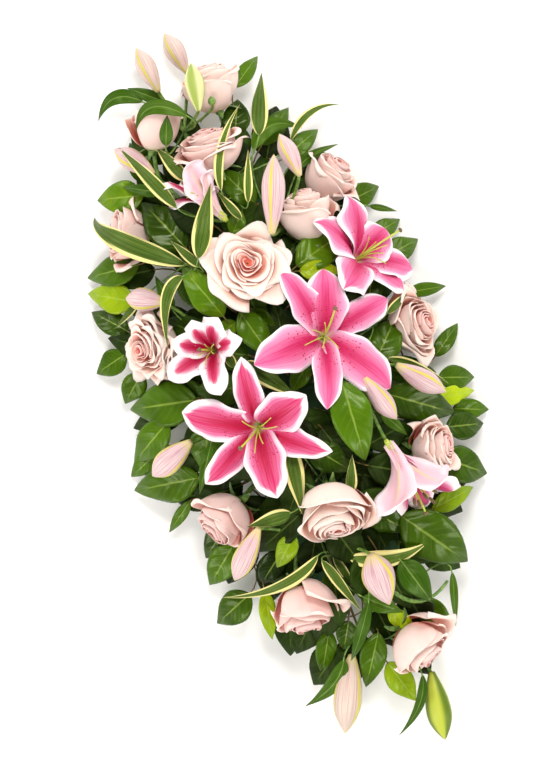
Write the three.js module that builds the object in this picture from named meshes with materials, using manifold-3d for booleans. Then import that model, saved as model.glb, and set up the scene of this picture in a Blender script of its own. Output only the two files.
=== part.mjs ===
// A double-ended funeral spray: fourteen roses, six open lilies and fourteen lily buds over salal,
// lily and variegated leaves, their stems standing in wet foam that is taped into a plastic tray.
// Millimetres. X runs along the spray, Y across it, Z up; the origin is under the middle of the tray.
import * as THREE from 'three';
import { mergeVertices } from 'three/addons/utils/BufferGeometryUtils.js';
import Module from 'manifold-3d';

const wasm = await Module();
wasm.setup();

// Driving dimensions
const MOUND = { halfLength: 455, halfWidth: 205, edge: 52, rise: 150, power: 0.8 };
const TRAY = { length: 480, width: 130, height: 35, wall: 2.5, floor: 3, corner: 18, lip: 3 };
const FOAM = { length: 230, width: 110, height: 78 };
const TAPE = { at: 118, width: 12, thickness: 0.8, drop: 14 };
const CLEARANCE = 0.3;
const ROUTE_CLEARANCE = 0.75;
const HALO = 0.4;
const HOLE_CLEARANCE = 0.45;
const LOWEST_LEAF = 5;
const GOLDEN_ANGLE = THREE.MathUtils.degToRad(137.5);
const ROSE = { petals: 8, petalThickness: 1.5, stemRadius: 2.6, stemSides: 4, stemSteps: 3 };
const LILY = { tepalThickness: 1.7, stemRadius: 2.9, stemSides: 4, stemSteps: 3, pedicelRadius: 2 };
const LEAF = { thickness: 1.7, stemRadius: 2.2, stemSides: 3, stemSteps: 3, stalkRadius: 1.2, bladeRows: 4 };

const LOOKS = {
  trayGreen: { color: 0x2c4a33, roughness: 0.45, metalness: 0 },
  foamGreen: { color: 0x3f6b45, roughness: 0.95, metalness: 0 },
  tapeGreen: { color: 0x2f6a3c, roughness: 0.5, metalness: 0 },
  roseBlush: { color: 0xf3dcd0, roughness: 0.7, metalness: 0 },
  lilyPink: { color: 0xe76aa2, roughness: 0.6, metalness: 0 },
  budPink: { color: 0xe9b9c6, roughness: 0.55, metalness: 0 },
  budLime: { color: 0xa9bf4a, roughness: 0.55, metalness: 0 },
  lilyGreen: { color: 0x5d8f3a, roughness: 0.5, metalness: 0 },
  salalGreen: { color: 0x2f5d22, roughness: 0.35, metalness: 0 },
  variegated: { color: 0x8fa35a, roughness: 0.45, metalness: 0 },
};

// Small vector and number helpers
const v3 = (x, y, z) => new THREE.Vector3(x, y, z);
const lerp = THREE.MathUtils.lerp;
const radians = THREE.MathUtils.degToRad;

// Height of the mound's visible surface above a point of the plan.
function moundHeight(x, y) {
  const reach = (x / MOUND.halfLength) ** 2 + (y / MOUND.halfWidth) ** 2;
  return MOUND.edge + MOUND.rise * Math.max(0, 1 - reach) ** MOUND.power;
}

// Direction that leans by tilt degrees from vertical towards the plan direction azimuth.
function leaning(azimuth, tilt) {
  const a = radians(azimuth);
  const t = radians(tilt);
  return v3(Math.sin(t) * Math.cos(a), Math.sin(t) * Math.sin(a), Math.cos(t));
}

// A closed geometry's shared vertices, with only positions, and its triangles without empty ones.
function sharedMesh(geometry) {
  const bare = geometry.clone();
  bare.deleteAttribute('normal');
  bare.deleteAttribute('uv');
  const merged = mergeVertices(bare, 1e-4);
  const index = merged.getIndex().array;
  const triangles = [];
  for (let i = 0; i < index.length; i += 3) {
    const [a, b, c] = [index[i], index[i + 1], index[i + 2]];
    if (a !== b && b !== c && c !== a) {
      triangles.push(a, b, c);
    }
  }
  merged.setIndex(triangles);
  return merged;
}

// Turns a closed geometry into a solid for joining and cutting.
function solidOf(geometry) {
  const shared = sharedMesh(geometry);
  return new wasm.Manifold(new wasm.Mesh({
    numProp: 3,
    vertProperties: new Float32Array(shared.getAttribute('position').array),
    triVerts: new Uint32Array(shared.getIndex().array),
  }));
}

// The same closed geometry with every vertex moved outwards.
function grown(geometry, distance) {
  const shared = sharedMesh(geometry);
  shared.computeVertexNormals();
  const position = shared.getAttribute('position');
  const normal = shared.getAttribute('normal');
  for (let i = 0; i < position.count; i += 1) {
    position.setXYZ(
      i,
      position.getX(i) + distance * normal.getX(i),
      position.getY(i) + distance * normal.getY(i),
      position.getZ(i) + distance * normal.getZ(i),
    );
  }
  return shared;
}

// Unites solids and frees them: the library's memory is its own.
function unitedAndFreed(solids) {
  const whole = wasm.Manifold.union(solids);
  whole.numTri();
  solids.forEach((solid) => solid.delete());
  return whole;
}

function joined(geometries) {
  return unitedAndFreed(geometries.map(solidOf));
}

// The largest body of a solid: loose scraps left by a cut are dropped.
function largestBody(solid) {
  const bodies = solid.decompose();
  bodies.sort((a, b) => b.volume() - a.volume());
  bodies.slice(1).forEach((scrap) => scrap.delete());
  return bodies[0];
}

function geometryOf(solid) {
  const cut = solid.getMesh();
  const geometry = new THREE.BufferGeometry();
  geometry.setAttribute('position', new THREE.BufferAttribute(new Float32Array(cut.vertProperties), 3));
  geometry.setIndex(new THREE.BufferAttribute(new Uint32Array(cut.triVerts), 1));
  return geometry;
}

function meshOf(name, solid, look) {
  const geometry = geometryOf(solid);
  geometry.computeVertexNormals();
  const mesh = new THREE.Mesh(geometry, new THREE.MeshStandardMaterial(LOOKS[look]));
  mesh.name = name;
  return mesh;
}

function boxesTouch(a, b) {
  for (let k = 0; k < 3; k += 1) {
    if (a.min[k] > b.max[k] || b.min[k] > a.max[k]) {
      return false;
    }
  }
  return true;
}

function near(solids, box) {
  return solids.filter((solid) => boxesTouch(solid.boundingBox(), box));
}

function overlapVolume(solid, obstacles) {
  let total = 0;
  for (const other of near(obstacles, solid.boundingBox())) {
    const shared = solid.intersect(other);
    total += shared.volume();
    shared.delete();
  }
  return total;
}

// A round stem along a curve.
function tube(curve, radius, sides, steps) {
  const section = new THREE.Shape();
  for (let i = 0; i < sides; i += 1) {
    const a = (2 * Math.PI * i) / sides;
    section[i === 0 ? 'moveTo' : 'lineTo'](radius * Math.cos(a), radius * Math.sin(a));
  }
  section.closePath();
  return new THREE.ExtrudeGeometry(section, { extrudePath: curve, steps, bevelEnabled: false });
}

// Points along the middle of a tube's straight pieces, from the piece first to just short of its end.
function springPoints(curve, steps, first) {
  const points = [];
  for (let k = first; k < steps; k += 1) {
    const [from, to] = [curve.getPointAt(k / steps), curve.getPointAt((k + 1) / steps)];
    for (const along of [0.05, 0.35, 0.65, 0.95]) {
      points.push(from.clone().lerp(to, along));
    }
  }
  return points;
}

// A closed blade whose middle surface is point(u, s), u along it and s from -1 to 1 across it.
// Both faces share the outline and are split into triangles alike.
function blade(point, rows, columns, thickness) {
  const middle = [];
  for (let i = 0; i <= rows; i += 1) {
    for (let j = 0; j <= columns; j += 1) {
      middle.push(point(i / rows, (2 * j) / columns - 1));
    }
  }
  const at = (i, j) => middle[i * (columns + 1) + j];
  const onEdge = (i, j) => i === 0 || i === rows || j === 0 || j === columns;
  const face = (side) => middle.map((p, k) => {
    const i = Math.floor(k / (columns + 1));
    const j = k % (columns + 1);
    if (onEdge(i, j)) {
      return p;
    }
    const along = at(i + 1, j).clone().sub(at(i - 1, j));
    const across = at(i, j + 1).clone().sub(at(i, j - 1));
    const normal = across.cross(along).normalize();
    return p.clone().addScaledVector(normal, (side * thickness) / 2);
  });
  const corners = [];
  const quad = (grid, i, j, flip) => {
    const [a, b, c, d] = [
      grid[i * (columns + 1) + j],
      grid[i * (columns + 1) + j + 1],
      grid[(i + 1) * (columns + 1) + j + 1],
      grid[(i + 1) * (columns + 1) + j],
    ];
    const order = flip ? [a, c, b, a, d, c] : [a, b, c, a, c, d];
    for (const p of order) {
      corners.push(p.x, p.y, p.z);
    }
  };
  const upper = face(1);
  const lower = face(-1);
  for (let i = 0; i < rows; i += 1) {
    for (let j = 0; j < columns; j += 1) {
      quad(upper, i, j, false);
      quad(lower, i, j, true);
    }
  }
  const geometry = new THREE.BufferGeometry();
  geometry.setAttribute('position', new THREE.BufferAttribute(new Float32Array(corners), 3));
  return geometry;
}

// Turns and moves a geometry that stands on +Z so that it stands at base along direction.
function stand(geometry, base, direction, spin = 0) {
  const turn = new THREE.Quaternion().setFromUnitVectors(v3(0, 0, 1), direction);
  turn.multiply(new THREE.Quaternion().setFromAxisAngle(v3(0, 0, 1), spin));
  geometry.applyQuaternion(turn);
  geometry.translate(base.x, base.y, base.z);
  return geometry;
}

function bezierPoint(p0, p1, p2, p3, t) {
  return new THREE.CubicBezierCurve3(p0, p1, p2, p3).getPoint(t);
}

// Roses: mouth centre in plan, facing azimuth and tilt, widest radius, head height, openness 0 to 1
const ROSES = [
  { x: -396, y: 36, azimuth: 178, tilt: 66, radius: 36, height: 52, open: 0.45 },
  { x: -371, y: -39, azimuth: 162, tilt: 66, radius: 33, height: 50, open: 0.4 },
  { x: -322, y: 10, azimuth: 180, tilt: 62, radius: 44, height: 46, open: 0.9 },
  { x: -238, y: 148, azimuth: 148, tilt: 60, radius: 35, height: 50, open: 0.5 },
  { x: -212, y: 97, azimuth: 160, tilt: 56, radius: 36, height: 52, open: 0.4 },
  { x: -254, y: -132, azimuth: 238, tilt: 60, radius: 37, height: 50, open: 0.6 },
  { x: -160, y: 4, azimuth: 180, tilt: 10, radius: 49, height: 50, open: 1 },
  { x: -22, y: 186, azimuth: 90, tilt: 60, radius: 39, height: 52, open: 0.55 },
  { x: -108, y: -150, azimuth: 270, tilt: 38, radius: 45, height: 48, open: 1 },
  { x: 123, y: 154, azimuth: 85, tilt: 45, radius: 33, height: 50, open: 0.7 },
  { x: 124, y: -140, azimuth: 305, tilt: 60, radius: 37, height: 52, open: 0.4 },
  { x: 172, y: -3, azimuth: 0, tilt: 20, radius: 46, height: 50, open: 1 },
  { x: 266, y: -76, azimuth: 350, tilt: 58, radius: 44, height: 50, open: 0.8 },
  { x: 352, y: 46, azimuth: 25, tilt: 60, radius: 41, height: 50, open: 0.7 },
];

// Profile of one rose petal in the plane through the head's axis: radius and height at u.
function rosePetalProfile(rose, layer, u) {
  const { radius, height, open } = rose;
  const lip = lerp(0.22, 1, layer ** 0.85) * radius;
  const lipHeight = height * (0.94 - (0.12 + 0.34 * open) * layer ** 2);
  const root = lerp(0.42, 0.1, layer) * height;
  const belly = lip * lerp(1.1, 0.86 - 0.1 * open, layer) + lerp(3, 0, layer);
  const curl = lerp(0.02, 0.2 * open + 0.04, layer) * height;
  const from = v3(0, 0, root);
  const low = v3(belly * 0.95, 0, root + 0.02 * height);
  const high = v3(belly, 0, lipHeight + curl);
  const end = v3(lip, 0, lipHeight);
  return bezierPoint(from, low, high, end, u);
}

function rosePetal(rose, index) {
  const layer = (index + 1) / ROSE.petals;
  const turn = index * GOLDEN_ANGLE;
  const halfWidth = lerp(0.42, 0.66, layer) * rose.radius;
  const rows = layer > 0.5 ? 3 : 2;
  const point = (u, s) => {
    const rounded = u * (1 - 0.13 * s * s * u);
    const p = rosePetalProfile(rose, layer, rounded);
    const narrowTop = 1 - 0.8 * Math.max(0, u - 0.7);
    const widen = Math.sin(Math.PI * Math.min(0.5, 0.12 + 0.62 * u)) * narrowTop;
    const angle = turn + s * Math.min(1.3, (halfWidth * widen) / Math.max(p.x, 5));
    const ruffle = 1.5 * layer * u * Math.cos(3 * s + index);
    return v3(p.x * Math.cos(angle), p.x * Math.sin(angle), p.z + ruffle);
  };
  return blade(point, rows, 3, ROSE.petalThickness);
}

// The tight middle of the rose with its hip below, closed on the axis.
function roseCore(rose) {
  const profile = [
    [0, -4],
    [8.5, 0.3 * rose.height],
    [0, 0.94 * rose.height],
  ];
  const core = new THREE.LatheGeometry(profile.map(([r, z]) => new THREE.Vector2(r, z)), 5);
  return core.rotateX(Math.PI / 2);
}

function roseHead(rose) {
  const pieces = [roseCore(rose)];
  for (let i = 0; i < ROSE.petals; i += 1) {
    pieces.push(rosePetal(rose, i));
  }
  return pieces.map((piece) => stand(piece, rose.base, rose.axis, rose.spin));
}

// Sets a rose's axis and base: its mouth lies under the mound's surface by the lean of its rim.
function placeRose(rose, index) {
  rose.axis = leaning(rose.azimuth, rose.tilt);
  const sunk = rose.radius * Math.sin(radians(rose.tilt)) * 0.85;
  const mouth = v3(rose.x, rose.y, moundHeight(rose.x, rose.y) - sunk);
  rose.base = mouth.addScaledVector(rose.axis, -0.9 * rose.height);
  rose.spin = 0.7 * index;
}

// Lilies: base of the flower, height of its base below the mound, tepal tips in plan with their
// height above the mound's surface, half width of the tepals; pistil and filament ends likewise
const LILIES = [
  {
    name: 'lily_1', base: [-46, 51], depth: 74, width: 20, throat: 40,
    tips: [[-137, 42, 4], [-122, 88, -2], [-66, 151, -6], [36, 115, -8], [31, 37, -2], [-46, -26, 0]],
    pistil: [-74, 82, 12],
    stamens: [[-63, 65, 2], [-46, 34, 4], [-29, 70, 0], [-36, 52, 4], [-60, 48, 4]],
  },
  {
    name: 'lily_2', base: [20, -45], depth: 74, width: 19, throat: 40,
    tips: [[-21, -133, 0], [-56, -44, -2], [12, 11, 2], [84, 16, -4], [109, -61, 0], [70, -136, -2]],
    pistil: [41, -79, 12],
    stamens: [[12, -66, 4], [45, -52, 4], [20, -33, 4], [52, -65, 4], [32, -30, 4]],
  },
  {
    name: 'lily_3', base: [-116, 112], depth: 70, width: 16, throat: 34,
    tips: [[-196, 150, 6], [-182, 104, 8], [-143, 178, 2], [-88, 196, 6], [-94, 106, 4], [-68, 176, -8]],
    pistil: [-136, 189, 26],
    stamens: [[-132, 156, 10], [-116, 160, 12], [-140, 150, 12], [-124, 168, 8], [-104, 158, 8]],
  },
  {
    name: 'lily_4', base: [-76, -60], depth: 78, width: 13, throat: 40,
    tips: [[-70, -130, 2], [-101, -108, 0], [-114, -84, -6], [-112, -62, -14], [-82, -40, -12], [-31, -84, -8]],
    pistil: [-84, -84, 4],
    stamens: [[-78, -88, -4], [-88, -76, -6], [-74, -70, -6], [-66, -84, -6], [-84, -66, -8]],
  },
  {
    name: 'lily_5', base: [92, 85], depth: 34, width: 15, throat: 50,
    tips: [[182, 62, -12], [164, 132, -2], [186, 146, -16], [195, 110, -2], [186, 88, -62], [176, 128, -60]],
    pistil: [190, 100, -22],
    stamens: [[176, 96, -22], [170, 106, -18], [178, 112, -30], [172, 92, -34], [168, 118, -26]],
  },
  {
    name: 'lily_6', base: [-216, -1], depth: 36, width: 13, throat: 42,
    tips: [[-284, -58, 0], [-298, -24, -10], [-300, -8, 0], [-252, 4, -4], [-262, -60, -22], [-290, -40, -40]],
    pistil: [-276, -34, -8],
    stamens: [[-262, -30, -8], [-268, -24, -12], [-258, -36, -14], [-266, -38, -18], [-256, -24, -16]],
  },
];

function placeLily(lily) {
  const onMound = ([x, y, above]) => v3(x, y, moundHeight(x, y) + above);
  const [x, y] = lily.base;
  lily.foot = v3(x, y, moundHeight(x, y) - lily.depth);
  lily.points = lily.tips.map(onMound);
  lily.pistilEnd = onMound(lily.pistil);
  lily.stamenEnds = lily.stamens.map(onMound);
  const centre = v3(0, 0, 0);
  lily.points.forEach((p) => centre.add(p));
  centre.multiplyScalar(1 / lily.points.length);
  lily.axis = centre.sub(lily.foot).normalize();
  const turn = new THREE.Quaternion().setFromUnitVectors(v3(0, 0, 1), lily.axis);
  lily.sideA = v3(1, 0, 0).applyQuaternion(turn);
  lily.sideB = v3(0, 1, 0).applyQuaternion(turn);
}

// Angle of a point about a lily's axis, from two directions square to it.
function turnAbout(lily, point) {
  const out = point.clone().sub(lily.foot);
  return Math.atan2(out.dot(lily.sideB), out.dot(lily.sideA));
}

// One tepal: up the trumpet, over its rim and back to a pointed tip, with a channel and waved edges.
// It stays inside its own sector about the axis, so that neighbours meet only at the seat.
function tepal(lily, index) {
  const tip = lily.points[index];
  const inner = index % 2 === 0;
  const own = turnAbout(lily, tip);
  const gaps = lily.points.filter((p) => p !== tip).map((p) => {
    const gap = turnAbout(lily, p) - own;
    return gap - 2 * Math.PI * Math.floor(gap / (2 * Math.PI));
  });
  const room = { 1: Math.min(...gaps) / 2, '-1': Math.PI - Math.max(...gaps) / 2 };
  const outward = lily.sideA.clone().multiplyScalar(Math.cos(own)).addScaledVector(lily.sideB, Math.sin(own));
  const across = lily.axis.clone().cross(outward).normalize();
  const foot = lily.foot.clone().addScaledVector(lily.axis, 5);
  const rise = foot.clone().addScaledVector(lily.axis, lily.throat).addScaledVector(outward, 5);
  const reach = tip.clone().sub(foot);
  const over = foot.clone().addScaledVector(reach, 0.62).addScaledVector(lily.axis, 0.42 * lily.throat);
  const curve = new THREE.CubicBezierCurve3(foot, rise, over, tip);
  const widest = lily.width * (inner ? 1 : 0.72);
  const point = (u, s) => {
    const p = curve.getPoint(u);
    const tangent = curve.getTangent(u);
    const up = across.clone().cross(tangent).multiplyScalar(-1).normalize();
    const swell = u < 0.6
      ? 0.25 + 0.75 * Math.sin((Math.PI / 2) * (u / 0.6)) ** 1.3
      : Math.max(0, 1 - ((u - 0.6) / 0.4) ** 2) ** 0.8;
    const sector = Math.min(room[s < 0 ? -1 : 1], 1.2);
    const distance = p.clone().sub(lily.foot).dot(outward);
    const half = Math.min(widest * swell, distance * Math.tan(sector) * 0.94);
    const w = u > 0 && u < 1 ? s * (half) : 0;
    const channel = Math.abs(w) * lerp(0.3, -0.12, Math.min(1, u / 0.75));
    const wave = 1.2 * Math.abs(s) * Math.sin(9 * u + 3 * s) * swell * Math.sin(Math.PI * u);
    return p.addScaledVector(across, w).addScaledVector(up, channel + wave);
  };
  return blade(point, 5, 2, LILY.tepalThickness);
}

function slender(from, lean, to, radius, sides, steps) {
  return tube(new THREE.QuadraticBezierCurve3(from, lean, to), radius, sides, steps);
}

function lilyBloom(lily) {
  const seat = new THREE.LatheGeometry([
    new THREE.Vector2(0, 0),
    new THREE.Vector2(3.4, 0),
    new THREE.Vector2(4.6, 10),
    new THREE.Vector2(0, 17),
  ], 6).rotateX(Math.PI / 2);
  const pieces = [stand(seat, lily.foot, lily.axis)];
  for (let i = 0; i < lily.points.length; i += 1) {
    pieces.push(tepal(lily, i));
  }
  const start = lily.foot.clone().addScaledVector(lily.axis, 12);
  const lean = start.clone().addScaledVector(lily.axis, 0.8 * lily.throat);
  for (const end of lily.stamenEnds) {
    pieces.push(slender(start, lean, end, 1.1, 3, 1));
  }
  pieces.push(slender(start, lean, lily.pistilEnd, 1.4, 3, 2));
  const stigma = new THREE.OctahedronGeometry(3, 0);
  stigma.translate(lily.pistilEnd.x, lily.pistilEnd.y, lily.pistilEnd.z);
  pieces.push(stigma);
  return pieces;
}

// Buds: base and tip in plan with their heights, widest diameter, look
const BUDS = [
  { name: 'bud_a', base: [-392, -24, 66], tip: [-452, -31, 52], width: 25, look: 'budPink' },
  { name: 'bud_b', base: [-300, -63, 92], tip: [-346, -98, 66], width: 27, look: 'budPink' },
  { name: 'bud_c', base: [-404, 16, 34], tip: [-458, 7, 30], width: 26, look: 'budPink' },
  { name: 'bud_d', base: [-351, 13, 120], tip: [-408, 24, 108], width: 25, look: 'budLime' },
  { name: 'bud_e', base: [-236, 98, 150], tip: [-292, 93, 126], width: 24, look: 'budPink' },
  { name: 'bud_f', base: [-182, 43, 190], tip: [-270, 78, 162], width: 30, look: 'budPink' },
  { name: 'bud_g', base: [-152, -104, 118], tip: [-173, -146, 98], width: 30, look: 'budPink' },
  { name: 'bud_h', base: [14, -132, 116], tip: [37, -190, 84], width: 33, look: 'budPink' },
  { name: 'bud_i', base: [138, -92, 142], tip: [187, -141, 108], width: 29, look: 'budPink' },
  { name: 'bud_j', base: [14, 87, 158], tip: [74, 106, 142], width: 26, look: 'budPink' },
  { name: 'bud_k', base: [13, 128, 128], tip: [64, 173, 100], width: 28, look: 'budPink' },
  { name: 'bud_l', base: [215, 22, 148], tip: [275, 22, 126], width: 34, look: 'budPink' },
  { name: 'bud_m', base: [320, -40, 66], tip: [407, -81, 46], width: 33, look: 'budPink' },
  { name: 'bud_n', base: [374, 42, 44], tip: [457, 29, 34], width: 33, look: 'budLime' },
];

function placeBud(bud) {
  bud.foot = v3(...bud.base);
  bud.end = v3(...bud.tip);
  bud.axis = bud.end.clone().sub(bud.foot).normalize();
  bud.long = bud.end.distanceTo(bud.foot);
}

// A lily bud, six-sided like its folded tepals, fuller towards the tip.
function budGeometry(bud) {
  const stations = [[0, 0.24], [0.3, 0.76], [0.62, 1], [0.88, 0.64]];
  const profile = [new THREE.Vector2(0, 0)];
  for (const [along, wide] of stations) {
    profile.push(new THREE.Vector2((wide * bud.width) / 2, along * bud.long));
  }
  profile.push(new THREE.Vector2(0, bud.long));
  return stand(new THREE.LatheGeometry(profile, 6).rotateX(Math.PI / 2), bud.foot, bud.axis, 0.4);
}

// Leaves: base, middle and tip in plan, width, share of the mound's height at which they lie
const leaf = (base, tip, width, level, mid = null) => ({ base, tip, width, level, mid });

// Lily stems: where the stem forks, what it carries, and its own leaves
const LILY_STEMS = [
  {
    name: 'lily_stem_a', fork: [-338, -12, 58], entry: [-196, -6], carries: ['bud_a', 'bud_c', 'bud_d'],
    leaves: [
      leaf([-388, -46], [-387, -104], 18, 0.55, [-404, -76]),
      leaf([-350, -2], [-356, -65], 18, 0.98, [-374, -38]),
      leaf([-325, -38], [-360, -24], 16, 0.96),
      leaf([-378, -20], [-412, -58], 16, 0.4),
    ],
  },
  {
    name: 'lily_stem_b', fork: [-232, -30, 96], entry: [-170, -14], carries: ['bud_b', 'lily_6'],
    leaves: [leaf([-276, -62], [-300, -104], 15, 0.62)],
  },
  {
    name: 'lily_stem_c', fork: [-186, 56, 104], entry: [-130, 16], carries: ['bud_e', 'bud_f', 'lily_3'],
    leaves: [
      leaf([-286, 58], [-292, 122], 20, 0.7, [-306, 88]),
      leaf([-246, 100], [-252, 142], 12, 0.6, [-256, 120]),
      leaf([-258, 106], [-260, 158], 8, 0.6),
      leaf([-177, 166], [-160, 196], 8, 0.5),
    ],
  },
  {
    name: 'lily_stem_d', fork: [-8, 78, 112], entry: [-20, 20], carries: ['lily_1', 'bud_j', 'bud_k', 'lily_5'],
    leaves: [leaf([60, 92], [96, 112], 15, 0.7), leaf([-38, 118], [-66, 130], 14, 0.7)],
  },
  {
    name: 'lily_stem_e', fork: [-98, -66, 96], entry: [-78, -20], carries: ['lily_4', 'bud_g'],
    leaves: [leaf([-140, -98], [-186, -104], 16, 0.62)],
  },
  {
    name: 'lily_stem_f', fork: [14, -78, 90], entry: [16, -24], carries: ['lily_2', 'bud_h'],
    leaves: [leaf([24, -110], [76, -144], 15, 0.8)],
  },
  {
    name: 'lily_stem_g', fork: [176, -28, 92], entry: [150, -22], carries: ['bud_i', 'bud_l'],
    leaves: [leaf([265, 0], [325, -44], 16, 0.8, [300, -24]), leaf([258, -4], [292, 34], 22, 0.72)],
  },
  {
    name: 'lily_stem_h', fork: [298, -8, 56], entry: [205, 6], carries: ['bud_m', 'bud_n'],
    leaves: [
      leaf([322, -52], [361, -115], 20, 0.55, [346, -74]),
      leaf([372, 30], [433, -22], 12, 0.6, [405, 14]),
      leaf([233, 53], [294, 71], 34, 0.72),
      leaf([269, 106], [332, 88], 10, 0.6),
    ],
  },
];

// Salal stems: entry into the foam, end of the stem, leaves
const SALAL_STEMS = [
  {
    name: 'salal_a', entry: [-190, 22], end: [-318, 58, 40],
    leaves: [
      leaf([-340, 40], [-394, 102], 20, 0.6, [-378, 78]),
      leaf([-312, 44], [-352, 62], 32, 0.42),
      leaf([-266, 92], [-285, 140], 24, 0.5),
      leaf([-225, 38], [-279, 12], 30, 0.6),
    ],
  },
  {
    name: 'salal_b', entry: [-186, -28], end: [-286, -88, 42],
    leaves: [
      leaf([-282, -84], [-297, -138], 38, 0.5),
      leaf([-204, -58], [-274, -88], 45, 0.58),
      leaf([-206, -118], [-214, -182], 35, 0.45),
      leaf([-262, -66], [-268, -110], 30, 0.3),
    ],
  },
  {
    name: 'salal_c', entry: [-96, 26], end: [-122, 150, 50],
    leaves: [
      leaf([-124, 82], [-182, 108], 40, 0.55),
      leaf([-131, 59], [-115, 106], 18, 0.72),
      leaf([-112, 160], [-120, 208], 29, 0.42),
      leaf([-62, 122], [-114, 146], 28, 0.55),
      leaf([-142, 156], [-150, 196], 22, 0.36),
      leaf([-190, 140], [-196, 186], 28, 0.34),
    ],
  },
  {
    name: 'salal_d', entry: [-104, -30], end: [-92, -148, 46],
    leaves: [
      leaf([-166, -138], [-196, -188], 35, 0.42),
      leaf([-136, -158], [-174, -192], 28, 0.34),
      leaf([-112, -170], [-102, -212], 30, 0.3),
      leaf([-84, -160], [-56, -192], 28, 0.4),
      leaf([-30, -108], [-47, -188], 50, 0.52),
      leaf([-112, -44], [-184, -70], 37, 0.76),
      leaf([-110, -24], [-48, -8], 33, 0.72),
    ],
  },
  {
    name: 'salal_e', entry: [20, 26], end: [38, 148, 52],
    leaves: [
      leaf([2, 106], [-40, 148], 40, 0.55),
      leaf([-64, 172], [-55, 220], 16, 0.4),
      leaf([20, 178], [-8, 218], 20, 0.26),
      leaf([8, 60], [106, 54], 46, 0.84),
      leaf([40, 104], [92, 176], 44, 0.58),
      leaf([45, 172], [60, 214], 28, 0.42),
    ],
  },
  {
    name: 'salal_f', entry: [126, 26], end: [148, 138, 50],
    leaves: [
      leaf([68, 160], [75, 208], 22, 0.4),
      leaf([86, 176], [103, 217], 24, 0.32),
      leaf([104, 160], [116, 205], 33, 0.4),
      leaf([136, 142], [174, 188], 42, 0.46),
      leaf([190, 110], [183, 166], 24, 0.5),
      leaf([184, 72], [264, 128], 58, 0.6),
    ],
  },
  {
    name: 'salal_g', entry: [82, -28], end: [104, -142, 46],
    leaves: [
      leaf([58, -138], [46, -218], 45, 0.48),
      leaf([10, -168], [29, -216], 28, 0.34),
      leaf([2, -106], [54, -130], 40, 0.6),
      leaf([80, -158], [108, -196], 14, 0.4),
      leaf([148, -128], [184, -172], 35, 0.44),
      leaf([174, -76], [204, -114], 30, 0.5),
      leaf([210, -130], [231, -180], 38, 0.42),
      leaf([212, -112], [271, -124], 20, 0.5),
    ],
  },
  {
    name: 'salal_h', entry: [190, -24], end: [312, -22, 40],
    leaves: [
      leaf([283, -56], [330, -82], 24, 0.45),
      leaf([306, -2], [363, -38], 30, 0.5),
      leaf([344, -4], [400, 12], 30, 0.46),
      leaf([290, 52], [326, 86], 30, 0.4),
      leaf([286, 18], [316, 40], 20, 0.5),
    ],
  },
];

const VARIEGATED_STEMS = [
  {
    name: 'variegated_a', entry: [-204, 4], end: [-268, 34, 84],
    leaves: [
      leaf([-252, -52], [-346, -92], 20, 0.86),
      leaf([-279, -30], [-330, -50], 20, 0.7),
      leaf([-300, 70], [-372, 100], 24, 0.78),
      leaf([-285, 100], [-304, 176], 12, 0.66),
      leaf([-252, 5], [-343, 62], 14, 0.82, [-303, 30]),
      leaf([-228, 30], [-288, 52], 13, 0.78),
    ],
  },
  {
    name: 'variegated_b', entry: [-146, -26], end: [-188, -66, 98],
    leaves: [
      leaf([-185, -66], [-278, -148], 32, 0.8, [-242, -132]),
      leaf([-186, -48], [-264, -4], 28, 0.94),
      leaf([-176, -50], [-218, -72], 14, 0.84),
      leaf([-172, -73], [-98, -119], 18, 0.96, [-152, -101]),
      leaf([-162, -136], [-145, -168], 10, 0.7),
      leaf([-212, 16], [-254, 0], 12, 0.8),
    ],
  },
  {
    name: 'variegated_c', entry: [-22, -26], end: [-30, -2, 128],
    leaves: [
      leaf([-50, -52], [-80, -58], 14, 0.8),
      leaf([-52, -40], [8, 4], 26, 0.78),
      leaf([-48, 140], [-65, 175], 12, 0.7),
      leaf([3, 122], [56, 181], 13, 0.66, [23, 151]),
    ],
  },
  {
    name: 'variegated_d', entry: [100, 6], end: [112, -14, 120],
    leaves: [
      leaf([134, -50], [132, -104], 22, 0.76),
      leaf([60, -24], [141, -38], 27, 0.74),
      leaf([138, 24], [94, 42], 16, 0.78),
    ],
  },
  {
    name: 'variegated_e', entry: [184, 24], end: [206, -14, 100],
    leaves: [
      leaf([193, -38], [203, -162], 18, 0.7, [212, -92]),
      leaf([200, -35], [274, -12], 15, 0.7),
      leaf([200, -20], [254, -8], 13, 0.58),
      leaf([208, -4], [224, 92], 24, 0.62),
    ],
  },
];

// Middle line of a leaf: from its base, arched, to its tip.
function leafCurve({ base, tip, mid, level }) {
  const from = v3(base[0], base[1], level * moundHeight(base[0], base[1]));
  const to = v3(tip[0], tip[1], Math.max(LOWEST_LEAF + 3, level * moundHeight(tip[0], tip[1]) - 6));
  const half = mid ? v3(mid[0], mid[1], 0) : from.clone().add(to).multiplyScalar(0.5);
  half.z = (from.z + to.z) / 2 + 0.14 * from.distanceTo(to);
  const control = half.clone().multiplyScalar(2).addScaledVector(from, -0.5).addScaledVector(to, -0.5);
  return new THREE.QuadraticBezierCurve3(from, control, to);
}

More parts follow.
